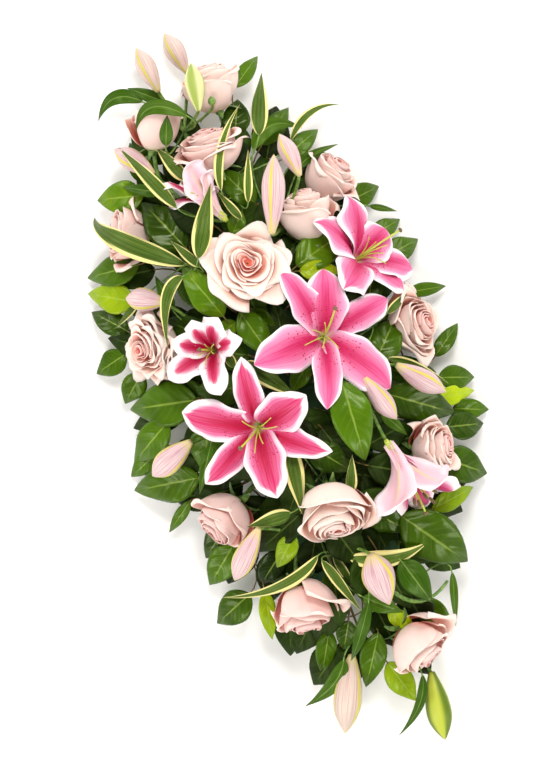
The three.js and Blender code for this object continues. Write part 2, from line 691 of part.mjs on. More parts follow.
// A leaf with its stalk in one blade, folded a little at the midrib: the stalk runs along route to
// the blade's base, and shape is the outline's half width, 0 to 1, at u.
function leafBlade(one, route, shape, fold, wave) {
  const curve = leafCurve(one);
  const stalkRows = route.getLength() > 30 ? 2 : 1;
  const rows = stalkRows + LEAF.bladeRows;
  const point = (t, s) => {
    const row = t * rows;
    const onStalk = row < stalkRows + 0.01;
    const u = onStalk ? 0 : (row - stalkRows) / LEAF.bladeRows;
    const p = onStalk ? route.getPoint(Math.min(1, row / stalkRows)) : curve.getPoint(u);
    const tangent = onStalk ? route.getTangent(Math.min(1, row / stalkRows)) : curve.getTangent(u);
    const across = v3(-tangent.y, tangent.x, 0).normalize();
    const up = across.clone().cross(tangent).multiplyScalar(-1);
    const half = u < 1 ? Math.max(LEAF.stalkRadius, (one.width / 2) * shape(u)) : 0;
    const ripple = wave * one.width * Math.sin(13 * u + 4 * s) * Math.abs(s) * shape(u);
    const q = p.addScaledVector(across, s * half).addScaledVector(up, fold * Math.abs(s) * half + ripple);
    q.z = Math.max(q.z, LOWEST_LEAF);
    return q;
  };
  return blade(point, rows, 2, LEAF.thickness);
}

const ovate = (u) => Math.sin(Math.PI * u ** 0.78) ** 0.75;
const lanceolate = (u) => Math.sin(Math.PI * u ** 0.7) ** 0.85;
const LEAF_FORMS = {
  salal: (one, route) => leafBlade(one, route, ovate, 0.16, 0.05),
  lily: (one, route) => leafBlade(one, route, lanceolate, 0.3, 0.03),
  variegated: (one, route) => leafBlade(one, route, lanceolate, 0.28, 0.06),
};

// Tries each bend in turn and keeps the first curve whose tube clears every obstacle.
function clearRoute(curves, radius, obstacles) {
  let best = null;
  for (const curve of curves) {
    const trial = solidOf(tube(curve, radius + ROUTE_CLEARANCE, 5, 8));
    const lost = overlapVolume(trial, obstacles);
    trial.delete();
    if (best === null || lost < best.lost) {
      best = { curve, lost };
    }
    if (lost === 0) {
      break;
    }
  }
  return best;
}

// Bends to try, nearest first, as shifts of a route's end in the foam and of its middle.
function* bends(stepX, stepY, sag) {
  for (let ring = 0; ring <= 6; ring += 1) {
    for (let i = -ring; i <= ring; i += 1) {
      for (let j = -ring; j <= ring; j += 1) {
        if (Math.max(Math.abs(i), Math.abs(j)) === ring) {
          for (const z of [0, -sag, sag]) {
            yield v3(i * stepX, j * stepY, z);
          }
        }
      }
    }
  }
}

const FOAM_BASE = TRAY.floor + CLEARANCE;
const FOAM_TOP = FOAM_BASE + FOAM.height;
const STEM_END_HEIGHT = FOAM_BASE + 0.5 * FOAM.height;
const FOAM_REACH = FOAM.length - 24;

// A stem from the foam to a point that it reaches along direction.
function stemRoutes(entry, target, direction) {
  const routes = [];
  const distance = Math.hypot(target.x - entry[0], target.y - entry[1]);
  const span = Math.max(40, 0.45 * distance);
  for (const bend of bends(13, 14, 9)) {
    const foot = v3(entry[0] + bend.x, entry[1] + bend.y, STEM_END_HEIGHT + bend.z);
    if (Math.abs(foot.x) < FOAM_REACH && Math.abs(foot.x) > 12 && Math.abs(foot.y) < 0.4 * FOAM.width) {
      const outward = v3(target.x - foot.x, target.y - foot.y, 0).multiplyScalar(0.35);
      const leave = foot.clone().add(outward).add(v3(0, 0, 34));
      const arrive = target.clone().addScaledVector(direction, -span);
      arrive.z = Math.max(arrive.z, FOAM_TOP * 0.55);
      routes.push(new THREE.CubicBezierCurve3(foot, leave, arrive, target));
    }
  }
  return routes;
}

function petioleRoutes(from, to, leave) {
  const routes = [];
  const distance = from.distanceTo(to);
  for (const bend of bends(7, 7, 12)) {
    const control = to.clone().addScaledVector(leave, -0.4 * distance).add(bend);
    if (control.z > LOWEST_LEAF + 4) {
      routes.push(new THREE.QuadraticBezierCurve3(from, control, to));
    }
  }
  return routes.slice(0, 60);
}

function foamBrick(side) {
  const brick = new THREE.BoxGeometry(FOAM.length - 2 * CLEARANCE, FOAM.width, FOAM.height);
  return solidOf(brick.translate((side * FOAM.length) / 2, 0, FOAM_BASE + FOAM.height / 2));
}

function outsideFoam(point) {
  const margin = 2 * LEAF.stemRadius;
  const beyond = Math.abs(point.x) > FOAM.length + margin || Math.abs(point.y) > FOAM.width / 2 + margin;
  return beyond || point.z > FOAM_TOP + margin;
}

function roundedPlan(length, width, corner) {
  const [hx, hy] = [length / 2 - corner, width / 2 - corner];
  const plan = new THREE.Shape();
  plan.absarc(hx, hy, corner, 0, Math.PI / 2);
  plan.absarc(-hx, hy, corner, Math.PI / 2, Math.PI);
  plan.absarc(-hx, -hy, corner, Math.PI, 1.5 * Math.PI);
  plan.absarc(hx, -hy, corner, 1.5 * Math.PI, 2 * Math.PI);
  plan.closePath();
  return plan;
}

function slab(length, width, corner, z, depth) {
  const plan = roundedPlan(length, width, corner);
  const options = { depth, bevelEnabled: false, curveSegments: 2 };
  return new THREE.ExtrudeGeometry(plan, options).translate(0, 0, z);
}

function traySolid() {
  const { length, width, height, wall, floor, corner, lip } = TRAY;
  const body = solidOf(slab(length, width, corner, 0, height));
  const rim = solidOf(slab(length + 2 * lip, width + 2 * lip, corner + lip, height - lip, lip));
  const inside = solidOf(slab(length - 2 * wall, width - 2 * wall, corner - wall, floor, height));
  return body.add(rim).subtract(inside);
}

// Tape over the foam and down both sides of the tray.
function tapeSolid(x) {
  const side = TRAY.width / 2 + TRAY.lip + CLEARANCE;
  const shoulder = FOAM.width / 2 + CLEARANCE;
  const top = FOAM_TOP + CLEARANCE;
  const half = (out) => [
    [side + out, TRAY.height - TAPE.drop],
    [side + out, TRAY.height + 1.5],
    [shoulder + out, top + out],
  ];
  const mirrored = (points) => points.map(([y, z]) => [-y, z]).reverse();
  const outside = [...half(TAPE.thickness), ...mirrored(half(TAPE.thickness))];
  const inside = [...half(0), ...mirrored(half(0))].reverse();
  const shape = new THREE.Shape([...outside, ...inside].map(([y, z]) => new THREE.Vector2(y, z)));
  const band = new THREE.ExtrudeGeometry(shape, { depth: TAPE.width, bevelEnabled: false });
  return solidOf(band.rotateX(Math.PI / 2).rotateZ(Math.PI / 2).translate(x - TAPE.width / 2, 0, 0));
}

// Everything placed so far. A halo, a little larger than its solid, clears later pieces of it, and
// a hole is the part of the foam that a stem takes.
const placed = [];

function place(name, look, solid, halo, hole = null) {
  placed.push({ name, look, solid, halo, hole });
}

function haloOf(pieces, solid) {
  const halo = unitedAndFreed(pieces.map((piece) => solidOf(grown(piece, HALO)))).add(solid);
  halo.numTri();
  return halo;
}

// Joins pieces into one solid and clears it of what is already placed, but for what it carries.
function placeCleared(name, look, pieces, hole = null, carries = []) {
  const whole = joined(pieces);
  const touches = (entry) => overlapVolume(whole, [entry.solid]) > 0;
  const apart = placed.filter((entry) => !carries.includes(entry.name) || touches(entry));
  const cutters = near(apart.map((entry) => entry.halo), whole.boundingBox());
  const cleared = cutters.length ? whole.subtract(wasm.Manifold.union(cutters)) : whole;
  const kept = largestBody(cleared);
  place(name, look, kept, haloOf(pieces, kept), hole);
}

function placeWhole(name, look, solid) {
  place(name, look, solid, haloOf([geometryOf(solid)], solid));
}

function solidsExcept(names) {
  return placed.filter((entry) => !names.includes(entry.name)).map((entry) => entry.solid);
}

const foamBricks = [foamBrick(-1), foamBrick(1)];
placeWhole('tray', 'trayGreen', traySolid());
placeWhole('anchor_tape_a', 'tapeGreen', tapeSolid(-TAPE.at));
placeWhole('anchor_tape_b', 'tapeGreen', tapeSolid(TAPE.at));

// Blooms first, so that every stem goes round them.
ROSES.forEach((rose, index) => {
  placeRose(rose, index);
  rose.name = `rose_${String(index + 1).padStart(2, '0')}`;
  placeCleared(rose.name, 'roseBlush', roseHead(rose));
});
for (const lily of LILIES) {
  placeLily(lily);
  placeCleared(lily.name, 'lilyPink', lilyBloom(lily));
}
for (const bud of BUDS) {
  placeBud(bud);
  placeCleared(bud.name, bud.look, [budGeometry(bud)]);
}

// Rose stems are one piece with their heads.
for (const rose of ROSES) {
  const target = rose.base.clone().addScaledVector(rose.axis, -2);
  const entry = [THREE.MathUtils.clamp(0.62 * target.x, -190, 190), 0.18 * target.y];
  const route = clearRoute(stemRoutes(entry, target, rose.axis), ROSE.stemRadius, solidsExcept([rose.name]));
  const stemOf = (radius) => solidOf(tube(route.curve, radius, ROSE.stemSides, ROSE.stemSteps));
  const own = placed.find((entry) => entry.name === rose.name);
  own.hole = stemOf(ROSE.stemRadius + HOLE_CLEARANCE);
  own.solid = own.solid.add(stemOf(ROSE.stemRadius));
  own.halo = own.halo.add(own.hole);
  own.halo.numTri();
}

// A lily stem forks into a short stalk for each bloom and bud that it carries.
for (const stem of LILY_STEMS) {
  const fork = v3(...stem.fork);
  const carried = [...LILIES, ...BUDS].filter((one) => stem.carries.includes(one.name));
  const apart = solidsExcept(stem.carries);
  const main = clearRoute(stemRoutes(stem.entry, fork, v3(0, 0, 0.4)), LILY.stemRadius, apart);
  const spring = springPoints(main.curve, LILY.stemSteps, LILY.stemSteps - 1).at(-1);
  const around = [...apart, ...foamBricks];
  const stalks = carried.map((one) => {
    const seat = one.foot.clone().addScaledVector(one.axis, -CLEARANCE);
    return clearRoute(petioleRoutes(spring, seat, one.axis), LILY.pedicelRadius, around);
  });
  const stalkRoutes = stem.leaves.map((one) => {
    const curve = leafCurve(one);
    const routes = petioleRoutes(spring, curve.getPoint(0), curve.getTangent(0));
    return clearRoute(routes, LEAF.stalkRadius, around);
  });
  const stemOf = (radius) => tube(main.curve, radius, LILY.stemSides, LILY.stemSteps);
  placeCleared(stem.name, 'lilyGreen', [
    stemOf(LILY.stemRadius),
    ...stalks.map((one) => tube(one.curve, LILY.pedicelRadius, 4, 2)),
    ...stem.leaves.map((one, i) => LEAF_FORMS.lily(one, stalkRoutes[i].curve)),
  ], solidOf(stemOf(LILY.stemRadius + HOLE_CLEARANCE)), stem.carries);
}

// A leafy stem: each leaf's stalk springs from the nearest point along the stem.
function placeLeafyStem(stem, form, look) {
  const target = v3(...stem.end);
  const apart = solidsExcept([]);
  const outward = v3(target.x - stem.entry[0], target.y - stem.entry[1], 0).normalize();
  const main = clearRoute(stemRoutes(stem.entry, target, outward), LEAF.stemRadius, apart);
  const springs = springPoints(main.curve, LEAF.stemSteps, 0).filter(outsideFoam);
  const around = [...apart, ...foamBricks];
  const stalkRoutes = stem.leaves.map((one) => {
    const curve = leafCurve(one);
    const root = curve.getPoint(0);
    const spring = springs.reduce((a, b) => (a.distanceTo(root) < b.distanceTo(root) ? a : b));
    return clearRoute(petioleRoutes(spring, root, curve.getTangent(0)), LEAF.stalkRadius, around);
  });
  const stemOf = (radius) => tube(main.curve, radius, LEAF.stemSides, LEAF.stemSteps);
  placeCleared(stem.name, look, [
    stemOf(LEAF.stemRadius),
    ...stem.leaves.map((one, i) => LEAF_FORMS[form](one, stalkRoutes[i].curve)),
  ], solidOf(stemOf(LEAF.stemRadius + HOLE_CLEARANCE)));
}

for (const stem of VARIEGATED_STEMS) {
  placeLeafyStem(stem, 'variegated', 'variegated');
}
for (const stem of SALAL_STEMS) {
  placeLeafyStem(stem, 'salal', 'salalGreen');
}

// The foam last, with a hole round each stem and a notch where a leaf's stalk crosses its shoulder.
foamBricks.forEach((whole, index) => {
  const holes = near(placed.filter((entry) => entry.hole).map((entry) => entry.hole), whole.boundingBox());
  const drilled = whole.subtract(wasm.Manifold.union(holes));
  const crossing = placed.filter((entry) => overlapVolume(drilled, [entry.solid]) > 0);
  const bored = largestBody(crossing.reduce((foam, entry) => foam.subtract(entry.halo), drilled));
  place(`wet_foam_${'ab'[index]}`, 'foamGreen', bored, whole);
});

const spray = new THREE.Group();
spray.name = 'funeral_spray';
for (const entry of placed) {
  spray.add(meshOf(entry.name, entry.solid, entry.look));
}

export default spray;
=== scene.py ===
"""Looks of a double-ended funeral spray: every petal, leaf and stem is a numpy surface.

Lengths are worked out in millimetres in the frame of the solids: X along the spray, Y across it,
Z up from the tray's underside. They become metres when a mesh is made. The studio is in metres.
"""
import math
import bpy
import numpy as np
from mathutils import Matrix


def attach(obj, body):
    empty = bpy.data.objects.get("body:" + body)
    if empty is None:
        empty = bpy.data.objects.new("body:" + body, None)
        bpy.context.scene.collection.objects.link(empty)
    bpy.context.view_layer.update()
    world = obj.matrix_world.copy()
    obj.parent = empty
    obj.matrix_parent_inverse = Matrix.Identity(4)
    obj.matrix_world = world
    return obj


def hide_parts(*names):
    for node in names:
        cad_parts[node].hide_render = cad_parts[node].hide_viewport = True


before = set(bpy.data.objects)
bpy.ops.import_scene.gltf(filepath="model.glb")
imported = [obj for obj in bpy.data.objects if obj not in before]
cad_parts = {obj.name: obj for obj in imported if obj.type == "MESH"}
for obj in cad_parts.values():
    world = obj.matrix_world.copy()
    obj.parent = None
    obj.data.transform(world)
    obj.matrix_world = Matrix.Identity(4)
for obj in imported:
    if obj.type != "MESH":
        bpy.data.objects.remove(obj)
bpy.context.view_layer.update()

MM = 0.001
GOLDEN_ANGLE = math.radians(137.5)
MOUND = {"half_length": 455, "half_width": 205, "edge": 52, "rise": 150, "power": 0.8}
LOWEST_LEAF = 5
FOAM_HALF = (229, 54)
FOAM_TOP = 81
ASIDE = (0.31, 0.17, 0.94)  # rings of a round body start across this direction
THICKNESS = {"petal": 0.55, "tepal": 0.8, "sepal": 0.7}
STEM_RADIUS = {"rose": 2.6, "lily": 2.9, "leafy": 2.2}

# First seed of the random draws of each kind; a kind's pieces count up from it
SEEDS = {"rose": 100, "lily": 200, "lily_stem": 300, "salal": 400, "variegated": 500,
         "extra_leaves": 600, "under_leaves": 602}

# Camera: straight above the spray, turned as the photograph shows it
VIEW_RIGHT = (0.347, 0.938, 0)
VIEW_UP = (-0.938, 0.347, 0)
VIEW_CENTRE = (-0.0117, -0.0230)
VIEW_HEIGHT = 6.1
VIEW_LENS = 233

# Studio: heights of the sky's lower and upper end and its strength at each, the floor's corner, what
# the lights face, and place, size and power of two lights above and four round the spray
SKY = (0.2, 0.95, 0.82, 0.22)
FLOOR_CORNER = (6, 6, -0.0005)
LIGHTS_AIM = (0, 0, 0.1)
LIGHTS = {"key": ((-1.2, 0.5, 2.8), 0.9, 47), "fill": ((1.1, -1.1, 2.8), 1.2, 31)}
for i in range(4):
    turn = math.radians(30 + 90 * i)
    LIGHTS[f"side_{i}"] = ((2.3 * math.cos(turn), 2.3 * math.sin(turn), 1.2), 1, 22)

# Roses: mouth centre in plan, azimuth and tilt of the axis, radius, height, openness, ruffle, pinkness,
# and how far the petals on the upper side close over the heart, where that isn't 1
ROSES = [
    (-396, 38, 178, 62, 43, 54, 0.36, 0, 0.25),
    (-371, -39, 162, 64, 34, 50, 0.3, 0, 0.4),
    (-322, 10, 180, 56, 45, 50, 0.75, 0.6, 0.6),
    (-236, 146, 120, 54, 41, 54, 0.6, 0.4, 0.5),
    (-214, 96, 165, 66, 38, 62, 0.2, 0, 0.25, -0.25),
    (-252, -132, 238, 60, 41, 52, 0.45, 0, 0.45),
    (-160, 4, 180, 10, 46, 50, 1, 0.4, 0),
    (-24, 180, 84, 44, 44, 54, 0.7, 0.5, 0.3),
    (-108, -150, 270, 38, 45, 48, 1, 1.3, 0.1),
    (123, 152, 85, 45, 36, 50, 0.7, 1, 0.25),
    (124, -142, 300, 54, 41, 54, 0.45, 0.4, 0.85),
    (168, -4, 354, 42, 48, 56, 0.3, 0.1, 0),
    (266, -78, 352, 56, 46, 58, 0.35, 0, 0.75),
    (352, 46, 25, 56, 44, 56, 0.35, 0, 0.4),
]
HEART_PETALS = 9
WIDER_HEAD, TALLER_HEAD = 1.1, 1.14
MORE_TILT, FULL_TILT = 14, 40  # heads lean by this much more, in full from this tilt on

# Lilies: base in plan, depth of the base under the mound, half width of a tepal, length of the throat,
# breadth of the white margin, slimness of the outer tepals and which ones are inner where these aren't
# 0.7 and every other one, and tips, pistil and stamens in plan with their height over the mound
LILIES = {
    "lily_1": {
        "base": (-46, 51), "depth": 74, "width": 26.4, "throat": 40, "margin": 0, "inner": (1, 3, 5),
        "tips": [(-137, 42, 4), (-122, 88, -2), (-66, 151, -6), (36, 115, -8), (31, 37, -2), (-46, -26, 0)],
        "pistil": (-74, 82, 12),
        "stamens": [(-63, 65, 2), (-46, 34, 4), (-29, 70, 0), (-36, 52, 4), (-60, 48, 4)],
    },
    "lily_2": {
        "base": (20, -45), "depth": 74, "width": 24.32, "throat": 40, "margin": 0.14, "deep": True,
        "tips": [(-21, -133, 0), (-56, -44, -2), (12, 11, 2), (84, 16, -4), (109, -61, 0), (70, -136, -2)],
        "pistil": (41, -79, 12),
        "stamens": [(12, -66, 4), (45, -52, 4), (20, -33, 4), (52, -65, 4), (32, -30, 4)],
    },
    "lily_3": {
        "base": (-116, 112), "depth": 70, "width": 25.6, "throat": 34, "margin": 0.1, "slim": 0.9,
        "tips": [(-196, 150, 6), (-182, 104, 8), (-143, 178, 2), (-88, 196, 6), (-94, 106, 4),
                 (-68, 176, -8)],
        "pistil": (-136, 189, 26),
        "stamens": [(-132, 156, 10), (-116, 160, 12), (-140, 150, 12), (-124, 168, 8), (-104, 158, 8)],
    },
    "lily_4": {
        "base": (-76, -60), "depth": 78, "width": 18.2, "throat": 40, "margin": 0.5, "slim": 0.8,
        "inner": (0, 3, 5), "deep": True,
        "tips": [(-66, -132, 4), (-103, -112, 4), (-116, -84, 2), (-110, -56, -2), (-80, -40, 2),
                 (-30, -82, 4)],
        "pistil": (-84, -84, 4),
        "stamens": [(-78, -88, -4), (-88, -76, -6), (-74, -70, -6), (-66, -84, -6), (-84, -66, -8)],
    },
    "lily_5": {
        "base": (92, 85), "depth": 34, "width": 26.25, "throat": 50, "margin": 0.3, "anthers": True,
        "tips": [(182, 52, 16), (193, 108, -58), (166, 137, 20), (189, 146, -40), (184, 80, -60),
                 (172, 124, -70)],
        "pistil": (190, 100, -22),
        "stamens": [(176, 96, -22), (170, 106, -18), (178, 112, -30), (172, 92, -34), (168, 118, -26)],
    },
    "lily_6": {
        "base": (-216, -1), "depth": 36, "width": 19.5, "throat": 42, "margin": 0.5, "deep": True,
        "tips": [(-291, -58, -26), (-286, -2, -4), (-300, -22, 16), (-262, 4, -30), (-262, -58, -44),
                 (-290, -36, -52)],
        "pistil": (-276, -34, -8),
        "stamens": [(-262, -30, -8), (-268, -24, -12), (-258, -36, -14), (-266, -38, -18),
                    (-256, -24, -16)],
    },
}
ALONG_TEPAL = 1 - (1 - np.linspace(0, 1, 34)) ** 1.5  # rows of a tepal, closer together to its tip

# Buds: base, tip, widest diameter, how lime green, and where fullest if not at 0.58 of the length
BUDS = {
    "bud_a": ((-392, -24, 66), (-452, -31, 52), 25, 0.1),
    "bud_b": ((-300, -63, 92), (-346, -98, 66), 27, 0),
    "bud_c": ((-404, 16, 34), (-458, 7, 30), 26, 0.1),
    "bud_d": ((-351, 13, 120), (-408, 24, 108), 25, 0.5),
    "bud_e": ((-236, 98, 150), (-292, 93, 126), 24, 0),
    "bud_f": ((-182, 43, 190), (-270, 78, 162), 30, 0),
    "bud_g": ((-152, -104, 118), (-173, -146, 98), 30, 0),
    "bud_h": ((14, -132, 116), (37, -190, 84), 33, 0),
    "bud_i": ((138, -92, 142), (187, -141, 108), 29, 0),
    "bud_j": ((14, 87, 158), (74, 106, 142), 26, 0),
    "bud_k": ((13, 128, 128), (64, 173, 100), 28, 0),
    "bud_l": ((212, 22, 148), (277, 22, 126), 42, 0, 0.4),
    "bud_m": ((320, -40, 66), (407, -81, 46), 37, 0.12),
    "bud_n": ((374, 42, 44), (457, 29, 34), 33, 1),
}

# A small knob bud, from its base to its tip, and the stem that carries it
KNOB_BUD = ((-352, 31, 98), (-363, 32.5, 102))
KNOB_STEM = "lily_stem_a"

# Leaf kinds: breadth as a share of the width in the tables, thickness, power and sharpness of the
# outline, fold, edge wave, edge teeth
LEAF_FORMS = {
    "salal": (1.06, 0.6, 0.78, 0.86, 0.14, 0.035, 0.03),
    "strap": (1, 0.5, 0.66, 1, 0.3, 0.02, 0),
    "variegated": (0.84, 0.6, 0.62, 1.05, 0.24, 0.05, 0),
}
LEAF_GRID = (30, 13)
TIP_DROOP = 0.05

# Lily stems: where the stem forks, what it carries, its leaves. A leaf, here and below: base and tip
# in plan, width, share of the mound's height, tone, and the midrib's middle in plan if it is bent
LILY_STEMS = {
    "lily_stem_a": ((-338, -12, 58), ["bud_a", "bud_c", "bud_d"], [
        (-388, -46, -387, -104, 18, 0.55, 0.5, -404, -76), (-350, -2, -356, -65, 18, 0.98, 0.5, -374, -38),
        (-325, -38, -360, -24, 16, 0.96, 0.5), (-378, -20, -412, -58, 16, 0.4, 0.5),
    ]),
    "lily_stem_b": ((-232, -30, 96), ["bud_b", "lily_6"], [
        (-276, -62, -300, -104, 15, 0.62, 0.5),
    ]),
    "lily_stem_c": ((-186, 56, 104), ["bud_e", "bud_f", "lily_3"], [
        (-286, 58, -292, 122, 20, 0.7, 0.5, -306, 88), (-246, 100, -252, 142, 12, 0.6, 0.5, -256, 120),
        (-258, 106, -260, 158, 8, 0.6, 0.5), (-177, 166, -160, 196, 8, 0.5, 0.5),
    ]),
    "lily_stem_d": ((-8, 78, 112), ["lily_1", "bud_j", "bud_k", "lily_5"], [
        (60, 92, 96, 112, 15, 0.7, 0.5), (-38, 118, -66, 130, 14, 0.7, 0.5),
    ]),
    "lily_stem_e": ((-98, -66, 96), ["lily_4", "bud_g"], [
        (-140, -98, -186, -104, 16, 0.62, 0.5),
    ]),
    "lily_stem_f": ((14, -78, 90), ["lily_2", "bud_h"], [
        (24, -110, 76, -144, 15, 0.8, 0.5),
    ]),
    "lily_stem_g": ((176, -28, 92), ["bud_i", "bud_l"], [
        (265, 0, 325, -44, 16, 0.8, 0.5, 300, -24), (258, -4, 292, 34, 22, 0.72, 0.5),
    ]),
    "lily_stem_h": ((298, -8, 56), ["bud_m", "bud_n"], [
        (322, -52, 361, -115, 20, 0.55, 0.5, 346, -74), (372, 30, 433, -22, 12, 0.6, 0.5, 405, 14),
        (233, 53, 294, 71, 34, 0.72, 0.5), (269, 106, 332, 88, 10, 0.6, 0.5),
    ]),
}

# Leafy stems: end of the stem, its leaves
SALAL_STEMS = {
    "salal_a": ((-318, 58, 40), [
        (-366, 64, -394, 103, 20, 0.5, 0.3), (-312, 44, -352, 62, 32, 0.42, 0.15),
        (-266, 92, -285, 140, 24, 0.5, 0.3), (-225, 38, -279, 12, 30, 0.6, 0.3),
    ]),
    "salal_b": ((-286, -88, 42), [
        (-282, -84, -297, -138, 38, 0.5, 0.55), (-204, -58, -274, -88, 45, 0.58, 0.1),
        (-206, -118, -214, -182, 35, 0.45, 0.3), (-262, -66, -268, -110, 30, 0.3, 0.3),
    ]),
    "salal_c": ((-122, 150, 50), [
        (-124, 82, -182, 108, 40, 0.55, 0.15), (-131, 59, -115, 106, 23, 0.72, 0.95),
        (-112, 160, -120, 208, 29, 0.42, 0.3), (-62, 122, -114, 146, 28, 0.55, 0.12),
        (-142, 156, -150, 196, 22, 0.36, 0.3), (-190, 140, -196, 186, 28, 0.34, 0.3),
    ]),
    "salal_d": ((-92, -148, 46), [
        (-166, -138, -196, -188, 35, 0.42, 0.75), (-136, -158, -174, -192, 28, 0.34, 0.12),
        (-112, -170, -102, -212, 30, 0.3, 0.3), (-84, -160, -56, -192, 28, 0.4, 0.3),
        (-30, -108, -47, -188, 50, 0.52, 0.3), (-112, -44, -184, -70, 37, 0.76, 0.45),
        (-110, -24, -48, -8, 33, 0.72, 0.3),
    ]),
    "salal_e": ((38, 148, 52), [
        (2, 106, -40, 148, 40, 0.55, 0.3), (-64, 172, -55, 220, 16, 0.4, 0.3),
        (20, 178, -8, 218, 20, 0.26, 0.3), (8, 60, 106, 54, 46, 0.84, 0.32),
        (40, 104, 92, 176, 44, 0.58, 0.18), (45, 172, 60, 214, 28, 0.42, 0.3),
    ]),
    "salal_f": ((148, 138, 50), [
        (68, 160, 75, 208, 22, 0.4, 0.95), (86, 176, 103, 217, 24, 0.32, 0.3),
        (104, 160, 116, 205, 33, 0.4, 0.15), (136, 142, 174, 188, 42, 0.46, 0.15),
        (190, 110, 183, 166, 24, 0.5, 0.65), (184, 72, 264, 128, 58, 0.6, 0.3),
    ]),
    "salal_g": ((104, -142, 46), [
        (58, -138, 46, -218, 45, 0.48, 0.2), (10, -168, 29, -216, 28, 0.34, 0.3),
        (2, -106, 54, -130, 40, 0.6, 0.3), (80, -158, 108, -196, 14, 0.4, 0.3),
        (148, -128, 184, -172, 35, 0.44, 0.3), (174, -76, 204, -114, 30, 0.5, 0.02),
        (210, -130, 231, -180, 38, 0.42, 0.2), (212, -112, 271, -124, 20, 0.5, 0.7),
    ]),
    "salal_h": ((312, -22, 40), [
        (283, -56, 330, -82, 24, 0.45, 0.2), (306, -2, 363, -38, 30, 0.5, 0.3),
        (344, -4, 400, 12, 30, 0.46, 0.7), (290, 52, 326, 86, 30, 0.4, 0.3),
        (286, 18, 316, 40, 20, 0.5, 0.9),
    ]),
}
VARIEGATED_STEMS = {
    "variegated_a": ((-268, 34, 84), [
        (-252, -52, -346, -92, 20, 0.86, 0.4), (-279, -30, -330, -50, 20, 0.7, 0.4),
        (-300, 70, -372, 100, 24, 0.78, 0.4), (-282, 104, -304, 176, 12, 0.66, 0.5, -306, 138),
        (-252, 5, -343, 62, 14, 0.84, 0.8, -300, 22), (-228, 30, -288, 52, 13, 0.78, 0.7),
    ]),
    "variegated_b": ((-188, -66, 98), [
        (-185, -66, -278, -148, 32, 0.8, 0.4, -242, -132), (-186, -48, -264, -4, 28, 0.94, 0.4),
        (-176, -50, -218, -72, 14, 0.84, 0.4), (-172, -73, -98, -119, 18, 0.96, 0.4, -152, -101),
        (-162, -136, -145, -168, 10, 0.7, 0.4), (-212, 16, -254, 0, 12, 0.8, 0.4),
    ]),
    "variegated_c": ((-30, -2, 128), [
        (-50, -52, -80, -58, 14, 0.8, 0.4), (-52, -40, 8, 4, 26, 0.78, 0.4),
        (-48, 140, -65, 175, 12, 0.7, 0.4), (3, 122, 56, 181, 13, 0.66, 0.4, 23, 151),
    ]),
    "variegated_d": ((112, -14, 120), [
        (134, -50, 132, -104, 22, 0.76, 0.4), (60, -24, 141, -38, 27, 0.74, 0.6),
        (138, 24, 94, 42, 16, 0.78, 0.4),
    ]),
    "variegated_e": ((206, -14, 100), [
        (193, -38, 203, -162, 18, 0.7, 0.65, 212, -92), (200, -35, 274, -12, 15, 0.7, 0.4),
        (200, -20, 254, -8, 13, 0.58, 0.4), (208, -4, 224, 92, 26, 0.66, 0.85, 226, 44),
    ]),
}

# More broad leaves, a bare twig, and layers of leaves within the mound: count, seed, share of the
# mound's plan, levels in its middle and at its edge, lightest tone, kept low as painted shade
EXTRA_LEAVES = [
    (-138, 58, -158, 128, 40, 0.7, 0.42), (-18, -150, 14, -206, 36, 0.55, 0.28),
    (-100, -32, -92, -62, 20, 0.7, 0.5), (-200, 0, -222, 20, 22, 0.66, 0.4),
    (-108, -10, -72, 8, 20, 0.66, 0.3), (-25, -95, -60, -150, 36, 0.46, 0.1),
    (-25, 30, 0, 0, 22, 0.66, 0.3), (120, -125, 152, -165, 30, 0.42, 0.1),
    (160, -55, 190, -88, 24, 0.66, 0.6), (280, -30, 312, -48, 24, 0.5, 0.15),
    (-290, 70, -322, 116, 26, 0.42, 0.2), (-290, -70, -348, -78, 30, 0.4, 0.2),
    (66, -2, 112, 34, 36, 0.66, 0.12), (64, 36, 118, 14, 30, 0.6, 0.1), (160, 36, 204, 74, 32, 0.56, 0.15),
    (150, 64, 196, 40, 28, 0.52, 0.2),
]
TWIG = [(206, 12, 75), (262, 26, 112), (302, 38, 96), (292, 76, 92), (276, 97, 84)]
UNDER_LAYERS = [(84, 601, (0.74, 0.66), (0.62, 0.34), 0.18),
                (30, 603, (0.55, 0.34), (0.67, 0.6), 0.25)]
LEAF_GLOSS = (0.75, 0.95, 0.4, 1)  # leaves shine a little green


def unit(vectors):
    """Vectors scaled to length 1 along their last axis."""
    length = np.linalg.norm(vectors, axis=-1, keepdims=True)
    return vectors / np.maximum(length, 1e-9)


def lerp(a, b, t):
    """The value at a share t of the way from a to b."""
    return a + (b - a) * t


def mound_height(x, y):
    """Height of the mound's visible surface: edge + rise (1 - (x/a)^2 - (y/b)^2)^power."""
    inside = np.maximum(0, 1 - (x / MOUND["half_length"]) ** 2 - (y / MOUND["half_width"]) ** 2)
    return MOUND["edge"] + MOUND["rise"] * inside ** MOUND["power"]


def ring_angles(count):
    """The angles of a number of points that stand evenly round a ring."""
    return np.arange(count) * 2 * math.pi / count


def turn_to(axis):
    """The rotation that takes +Z to axis by the shortest way, as a matrix for row vectors."""
    x, y, z = axis
    k = 1 / (1 + z)
    turn = np.array([[1 - x * x * k, -x * y * k, x], [-x * y * k, 1 - y * y * k, y], [-x, -y, z]])
    return turn.T


def bezier(points, t):
    """Points and unit tangents of a Bezier curve of any degree at the values t, by Casteljau's rule."""
    t = np.asarray(t, float)[..., None]
    level = [np.asarray(p, float) for p in points]
    while len(level) > 2:
        level = [lerp(a, b, t) for a, b in zip(level, level[1:])]
    return lerp(level[0], level[1], t), unit(level[1] - level[0] + 0 * t)


